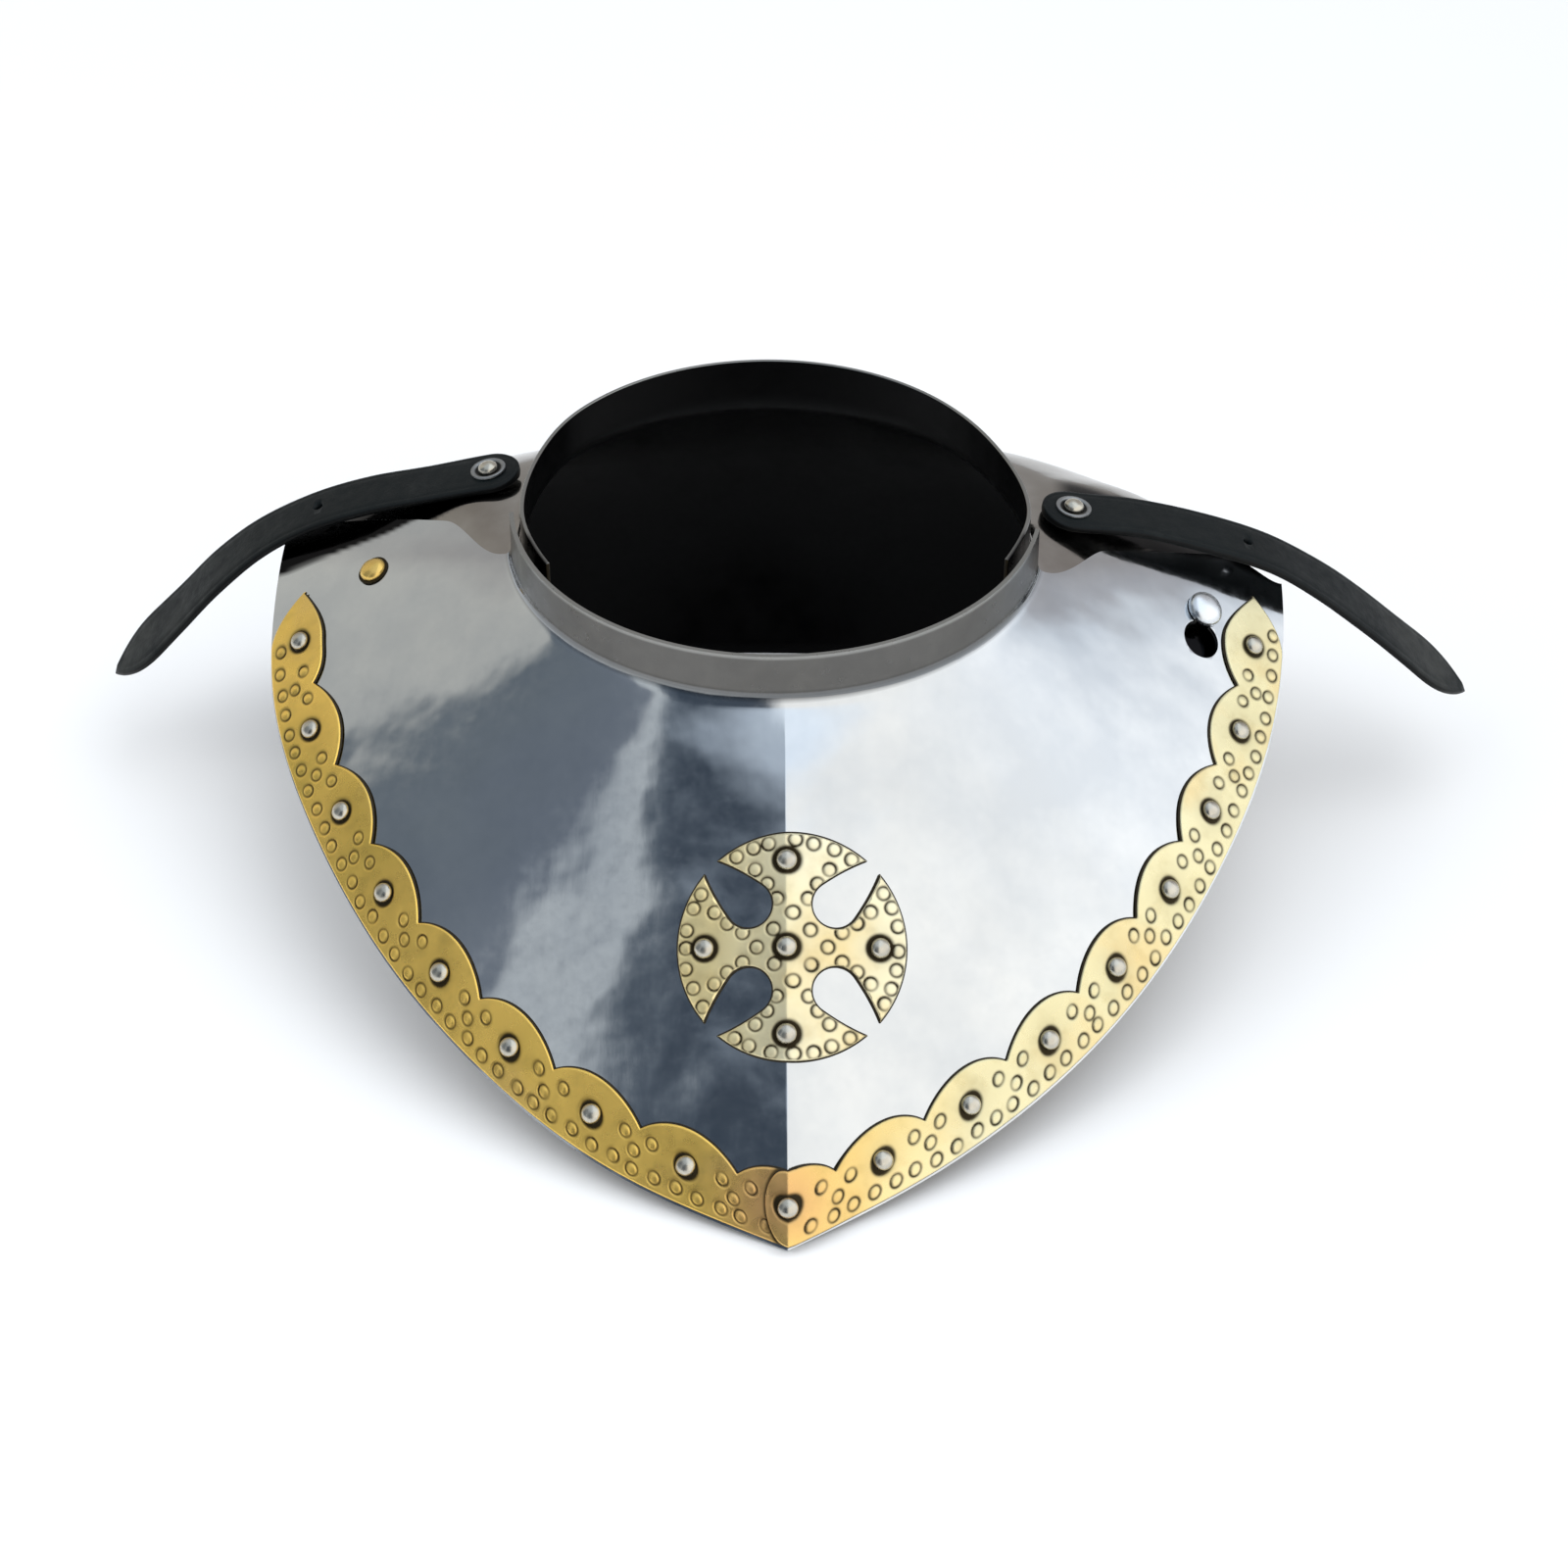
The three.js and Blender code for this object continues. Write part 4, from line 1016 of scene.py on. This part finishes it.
def roundel():
    outline = roundel_outline()
    step = 0.36
    count = int(ROUNDEL_RADIUS / step)
    grid = np.array([((i + 0.5 * (j % 2)) * step, j * step * 0.866)
                     for i in range(-count - 1, count + 2) for j in range(-count - 13, count + 14)])
    grid = grid[np.hypot(grid[:, 0], grid[:, 1]) < ROUNDEL_RADIUS]
    grid = grid[distance_to(outline, grid) > EDGE_BEVEL + 0.2]
    flat = [Vector(point) for point in np.concatenate([outline, grid])]
    loop = list(range(len(outline)))
    flat, _, triangles, *_ = delaunay_2d_cdt(flat, [], [loop], 1, 1e-6)
    flat = np.array([tuple(p) for p in flat])
    rim = distance_to(outline, flat)
    along = unit(np.roll(outline, -1, 0) - np.roll(outline, 1, 0))
    flat_top = flat.copy()
    flat_top[:len(outline)] += EDGE_BEVEL * np.stack([-along[:, 1], along[:, 0]], -1)
    heads = [(x - ROUNDEL_SIDE, -drop) for x, drop in ROUNDEL_RIVETS.values()]
    relief, grime_and_shade = stamped(flat[:, 0], flat[:, 1], roundel_rings(), heads)
    relief = relief * smoothstep(rim, 0, 0.8) - rounded_rim(rim)
    low, top = (
        off_surface(*beside_ridge(sheet[:, 0] + ROUNDEL_SIDE, -sheet[:, 1]), height)
        for sheet, height in ((flat, np.full(len(flat), GAP)), (flat_top, GAP + BRASS + relief)))
    count = len(flat)
    faces = [list(t) for t in triangles] + [[count + k for k in t[::-1]] for t in triangles]
    faces += [[a, count + a, count + b, b] for a, b in zip(loop, loop[1:] + loop[:1])]
    slots = [0] * len(triangles) + [1] * len(triangles) + [2] * len(loop)
    grime_and_shade = np.concatenate([grime_and_shade, np.full(count, UNDERSIDE_GRIME_AND_SHADE)])
    piece = add_object("roundel_brass", np.concatenate([top, low]), faces, [pale_brass, pale_brass, tarnish_and_shadow],
                       slots, grime_and_shade=grime_and_shade)
    finish_piece(piece, "front", "trim_brass", "roundel")


# ---- rivets

def dome_profile(head, grip, shank=1.5, tail=2.5, tail_height=0.8, lip=0.25):
    """A rivet's outline: peened tail, shank, then a domed head with a small upright lip."""
    radius, rise = head
    foot = -grip - tail_height
    outline = [(0, foot), (tail - 0.3, foot), (tail, foot + 0.3), (tail, -grip), (shank, -grip), (shank, 0),
               (radius, 0), (radius, lip)]
    for degrees in range(12, 90, 9):
        turn = math.radians(degrees)
        outline.append((radius * math.cos(turn), lip + (rise - lip) * math.sin(turn)))
    outline.append((0, rise))
    return outline


def rivet(placed, **sizes):
    points, faces = lathe(dome_profile(**sizes), 28)
    return moved(placed, points), faces


def brass_rivet(spot, head, on_ridge, lap=0.0):
    """A rivet through brass and steel; on the ridge, where the plate is folded, it is longer."""
    grip = STEEL + BRASS + 3 * GAP + lap + (RIDGE_GRIP if on_ridge else 0)
    return rivet(frame_at(spot, BRASS + 2 * GAP + lap - HEAD_SINK), head=head, grip=grip)


def border_rivets():
    for side, name in SIDES.items():
        parts, nodes = [], []
        for k in range(0 if side > 0 else 1, SCALLOPS + 1):
            angle = side * float(angle_along[side](k * RIVET_PITCH[side]))
            spot = (angle, border_reach(angle, RIVET_INSET))
            parts.append(brass_rivet(spot, BORDER_HEAD, k == 0, 0 if k else BRASS + GAP))
            nodes.append(f"border_rivet_{name}_{k}" if k else "border_rivet_point")
        piece = add_object(f"border_{name}_rivets", *joined(parts), [rivets], sharp=60)
        finish_piece(piece, "front", "rivet_steel", *nodes)


def roundel_rivets():
    parts = []
    for x, drop in ROUNDEL_RIVETS.values():
        spot = beside_ridge(np.array(float(x)), np.array(float(drop)))
        parts.append(brass_rivet(spot, ROUNDEL_HEAD, x == 0))
    piece = add_object("roundel_rivets", *joined(parts), [rivets], sharp=60)
    finish_piece(piece, "front", "rivet_steel", *(f"roundel_rivet_{name}" for name in ROUNDEL_RIVETS))


def shoulder_grip(spot):
    """Length of a rivet through both plates."""
    return float(back_tuck(spot[0])) + STEEL + 3 * GAP


def pivot_rivet():
    points, faces = rivet(frame_at(PIVOT_SPOT, GAP, PIVOT_TILT), head=PIVOT_HEAD,
                          grip=shoulder_grip(PIVOT_SPOT), tail=3)
    burr = lathe(BURR, 40)
    grime_and_shade = np.concatenate([np.zeros(len(points)), np.ones(len(burr[0]))])
    points, faces = joined([(points, faces), (moved(frame_at(PIVOT_SPOT, GAP), burr[0]), burr[1])])
    pivot = add_object("pivot_rivet_brass", points, faces, [brass], sharp=60, grime_and_shade=grime_and_shade)
    finish_piece(pivot, "back", "trim_brass", "pivot_rivet")


def lock_stud():
    points, faces = rivet(frame_at(STUD_SPOT, GAP), head=STUD_HEAD, grip=shoulder_grip(STUD_SPOT), tail=3,
                          lip=0.7)
    stud = add_object("lock_stud_steel", points, faces, [stud_metal], sharp=60)
    finish_piece(stud, "back", "rivet_steel", "lock_stud")


# ---- straps

def catmull_rom(points, samples=900):
    """Centripetal Catmull-Rom curve through the points, at even steps of length."""
    points = np.array(points, float)
    padded = np.vstack([2 * points[0] - points[1], points, 2 * points[-1] - points[-2]])
    fine = []
    for k in range(1, len(padded) - 2):
        p0, p1, p2, p3 = padded[k - 1:k + 3]
        d0, d1, d2 = (max(1e-6, np.linalg.norm(b - a) ** 0.5) for a, b in ((p0, p1), (p1, p2), (p2, p3)))
        t1 = ((p1 - p0) / d0 - (p2 - p0) / (d0 + d1) + (p2 - p1) / d1) * d1
        t2 = ((p2 - p1) / d1 - (p3 - p1) / (d1 + d2) + (p3 - p2) / d2) * d1
        square, cubic = -3 * p1 + 3 * p2 - 2 * t1 - t2, 2 * p1 - 2 * p2 + t1 + t2
        steps = np.linspace(0, 1, 60, endpoint=False)
        fine += [p1 + t1 * t + square * t ** 2 + cubic * t ** 3 for t in steps]
    fine.append(points[-1])
    fine = np.array(fine)
    length = np.concatenate([[0], np.cumsum(np.linalg.norm(np.diff(fine, axis=0), axis=1))])
    even = np.linspace(0, length[-1], samples)
    return length[-1], even, np.stack([np.interp(even, length, fine[:, k]) for k in range(3)], -1)


strap_curves = {name: catmull_rom(points) for name, points in STRAP_LINES.items()}


def strap_frame(name, distance):
    """Points of a strap's middle line, with the directions forward, up and across there."""
    length, even, line = strap_curves[name]
    point, ahead, behind = (
        np.array([np.interp(at, even, line[:, k]) for k in range(3)]).T
        for at in (distance, np.minimum(distance + 0.5, length), np.maximum(distance - 0.5, 0)))
    forward = unit(ahead - behind)
    twist = np.radians(STRAP_TWIST[name]) * smoothstep(np.asarray(distance) / length, 0.3, 1)
    across = np.stack([np.zeros_like(twist), np.cos(twist), np.sin(twist)], -1)
    across = unit(across - np.sum(across * forward, -1, keepdims=True) * forward)
    up = np.cross(forward, across)
    up = up * np.sign(up[..., 2:3])
    return point, forward, up, across


def strap_placed(name, distance, lift=0.0):
    """A frame standing on a strap's middle line, raised by a lift."""
    point, forward, up, _ = strap_frame(name, distance)
    y = unit(np.cross(up, forward))
    return np.stack([np.cross(y, up), y, up, point + up * lift], -1)


def strap(name):
    length = strap_curves[name][0]
    half = STRAP_WIDTH / 2
    distance = np.concatenate([half * (1 - np.cos(np.linspace(0.06, 0.5 * math.pi, 26))),
                               np.arange(half + 1.0, length - STRAP_TIP - 1, 1.0),
                               length - STRAP_TIP * (1 - np.linspace(0, 0.995, 60) ** 0.9)])
    round_end = np.sqrt(np.clip(1 - (1 - np.minimum(1, distance / half)) ** 2, 0, 1))
    point_end = 1 - (1 - np.clip((length - distance) / STRAP_TIP, 0, 1)) ** STRAP_TIP_FULLNESS
    width = (half * round_end * point_end)[:, None]
    point, forward, up, across = strap_frame(name, distance)
    around = np.linspace(0, 2 * math.pi, 64, endpoint=False)
    flat = np.sign(np.cos(around)) * np.abs(np.cos(around)) ** 0.35
    thick = np.sign(np.sin(around)) * np.abs(np.sin(around)) ** 0.55
    edge = np.minimum(1, width / 2.0)
    crease = CREASE_DEPTH * np.exp(-((np.abs(flat) * width - (width - CREASE_INSET)) / 0.5) ** 2)
    thickness = LEATHER / 2 * (0.35 + 0.65 * edge) - crease * edge
    ripple = 0.12 * np.sin(distance / 7.3 + 1)[:, None] * flat
    grid = (point[:, None] + across[:, None] * (flat * width)[..., None]
            + up[:, None] * (thick * thickness + ripple)[..., None])
    columns, sides = grid.shape[:2]
    faces = []
    for i in range(columns - 1):
        for j in range(sides):
            n = (j + 1) % sides
            faces.append([i * sides + j, i * sides + n, (i + 1) * sides + n, (i + 1) * sides + j])
    faces += [list(range(sides))[::-1], [(columns - 1) * sides + j for j in range(sides)]]
    if np.dot(np.cross(across[0], up[0]), forward[0]) < 0:
        faces = [face[::-1] for face in faces]
    grime_and_shade = np.tile(0.8 * smoothstep(np.abs(flat), 0.9, 1.0), columns)
    piece = add_object(f"strap_{name}_leather", grid.reshape(-1, 3), faces, [leather], grime_and_shade=grime_and_shade, sharp=60)
    cut_away(piece, [cylinder_cutter(STRAP_HOLE_RADIUS, strap_placed(name, STRAP_HOLE_DISTANCE), sides=24)])
    finish_piece(piece, "back", "strap_leather", f"strap_{name}")


def strap_fastening(name):
    base = LEATHER / 2 + GAP - 0.25
    points, faces = lathe(WASHER, 40)
    grime_and_shade = np.where(np.hypot(points[:, 0], points[:, 1]) < WASHER_RECESS_SHADE, 1.0, 0.0)
    points = moved(strap_placed(name, STRAP_RIVET_DISTANCE, base), points)
    washer = add_object(f"strap_{name}_washer", points, faces, [washers], grime_and_shade=grime_and_shade)
    finish_piece(washer, "back", "washer_steel", f"strap_washer_{name}")
    points, faces = rivet(strap_placed(name, STRAP_RIVET_DISTANCE, base + 0.35), head=STRAP_HEAD,
                          grip=LEATHER + 0.6 + STEEL + 5 * GAP + 1)
    pin = add_object(f"strap_{name}_rivet", points, faces, [rivets], sharp=60)
    finish_piece(pin, "back", "rivet_steel", f"strap_rivet_{name}")


# ---- studio

def studio_camera():
    elevation = math.radians(CAMERA_ELEVATION)
    back = Vector((0, -math.cos(elevation), math.sin(elevation)))
    camera = bpy.data.objects.new("camera", bpy.data.cameras.new("camera"))
    camera.data.sensor_width = 36
    camera.data.lens = CAMERA_LENS
    camera.data.clip_start, camera.data.clip_end = 0.05, 50
    camera.location = Vector(row_frame(CAMERA_TARGET)) + back * CAMERA_DISTANCE
    camera.rotation_mode = "QUATERNION"
    camera.rotation_quaternion = (-back).to_track_quat("-Z", "Y")
    scene.collection.objects.link(camera)
    scene.camera = camera


def floor():
    size = 8.0
    mesh = bpy.data.meshes.new("floor")
    corners = [(x * size, y * size, 0) for x, y in ((-1, -1), (1, -1), (1, 1), (-1, 1))]
    mesh.from_pydata(corners, [], [(0, 1, 2, 3)])
    mesh.materials.append(pale_floor())
    plane = bpy.data.objects.new("floor", mesh)
    scene.collection.objects.link(plane)


def studio_light():
    """A white room seen all round: bright panels to the right, dark screens to the left front."""
    world = bpy.data.worlds.new("studio")
    scene.world = world
    world.use_nodes = True
    n = Nodes(world.node_tree)
    direction = n.add("ShaderNodeTexCoord").outputs["Generated"]
    azimuth = n.math("ARCTAN2", n.axis(direction, "X"), n.times(n.axis(direction, "Y"), -1))
    share = n.ramp(azimuth, -math.pi, math.pi)
    high = n.ramp(n.axis(direction, "Z"), *CEILING_STARTS, shape="SMOOTHSTEP")
    color = n.mix(high, n.colors_round(share, ROOM), n.colors_round(share, CEILING))
    n.feed(n.tree.nodes["Background"].inputs["Color"], color)
    for name, (place, size, energy) in LAMPS.items():
        lamp = bpy.data.lights.new(name, "AREA")
        lamp.shape, lamp.size, lamp.energy = "SQUARE", size, energy
        box = bpy.data.objects.new(name, lamp)
        box.location = place
        box.rotation_mode = "QUATERNION"
        box.rotation_quaternion = (-box.location).to_track_quat("-Z", "Y")
        box.visible_glossy = False
        scene.collection.objects.link(box)
    scene.view_settings.view_transform = "Standard"


front_plate()
back_plate()
for side in SIDES:
    border_half(side)
roundel()
border_rivets()
roundel_rivets()
pivot_rivet()
lock_stud()
for name in STRAP_LINES:
    strap(name)
    strap_fastening(name)
studio_camera()
floor()
studio_light()
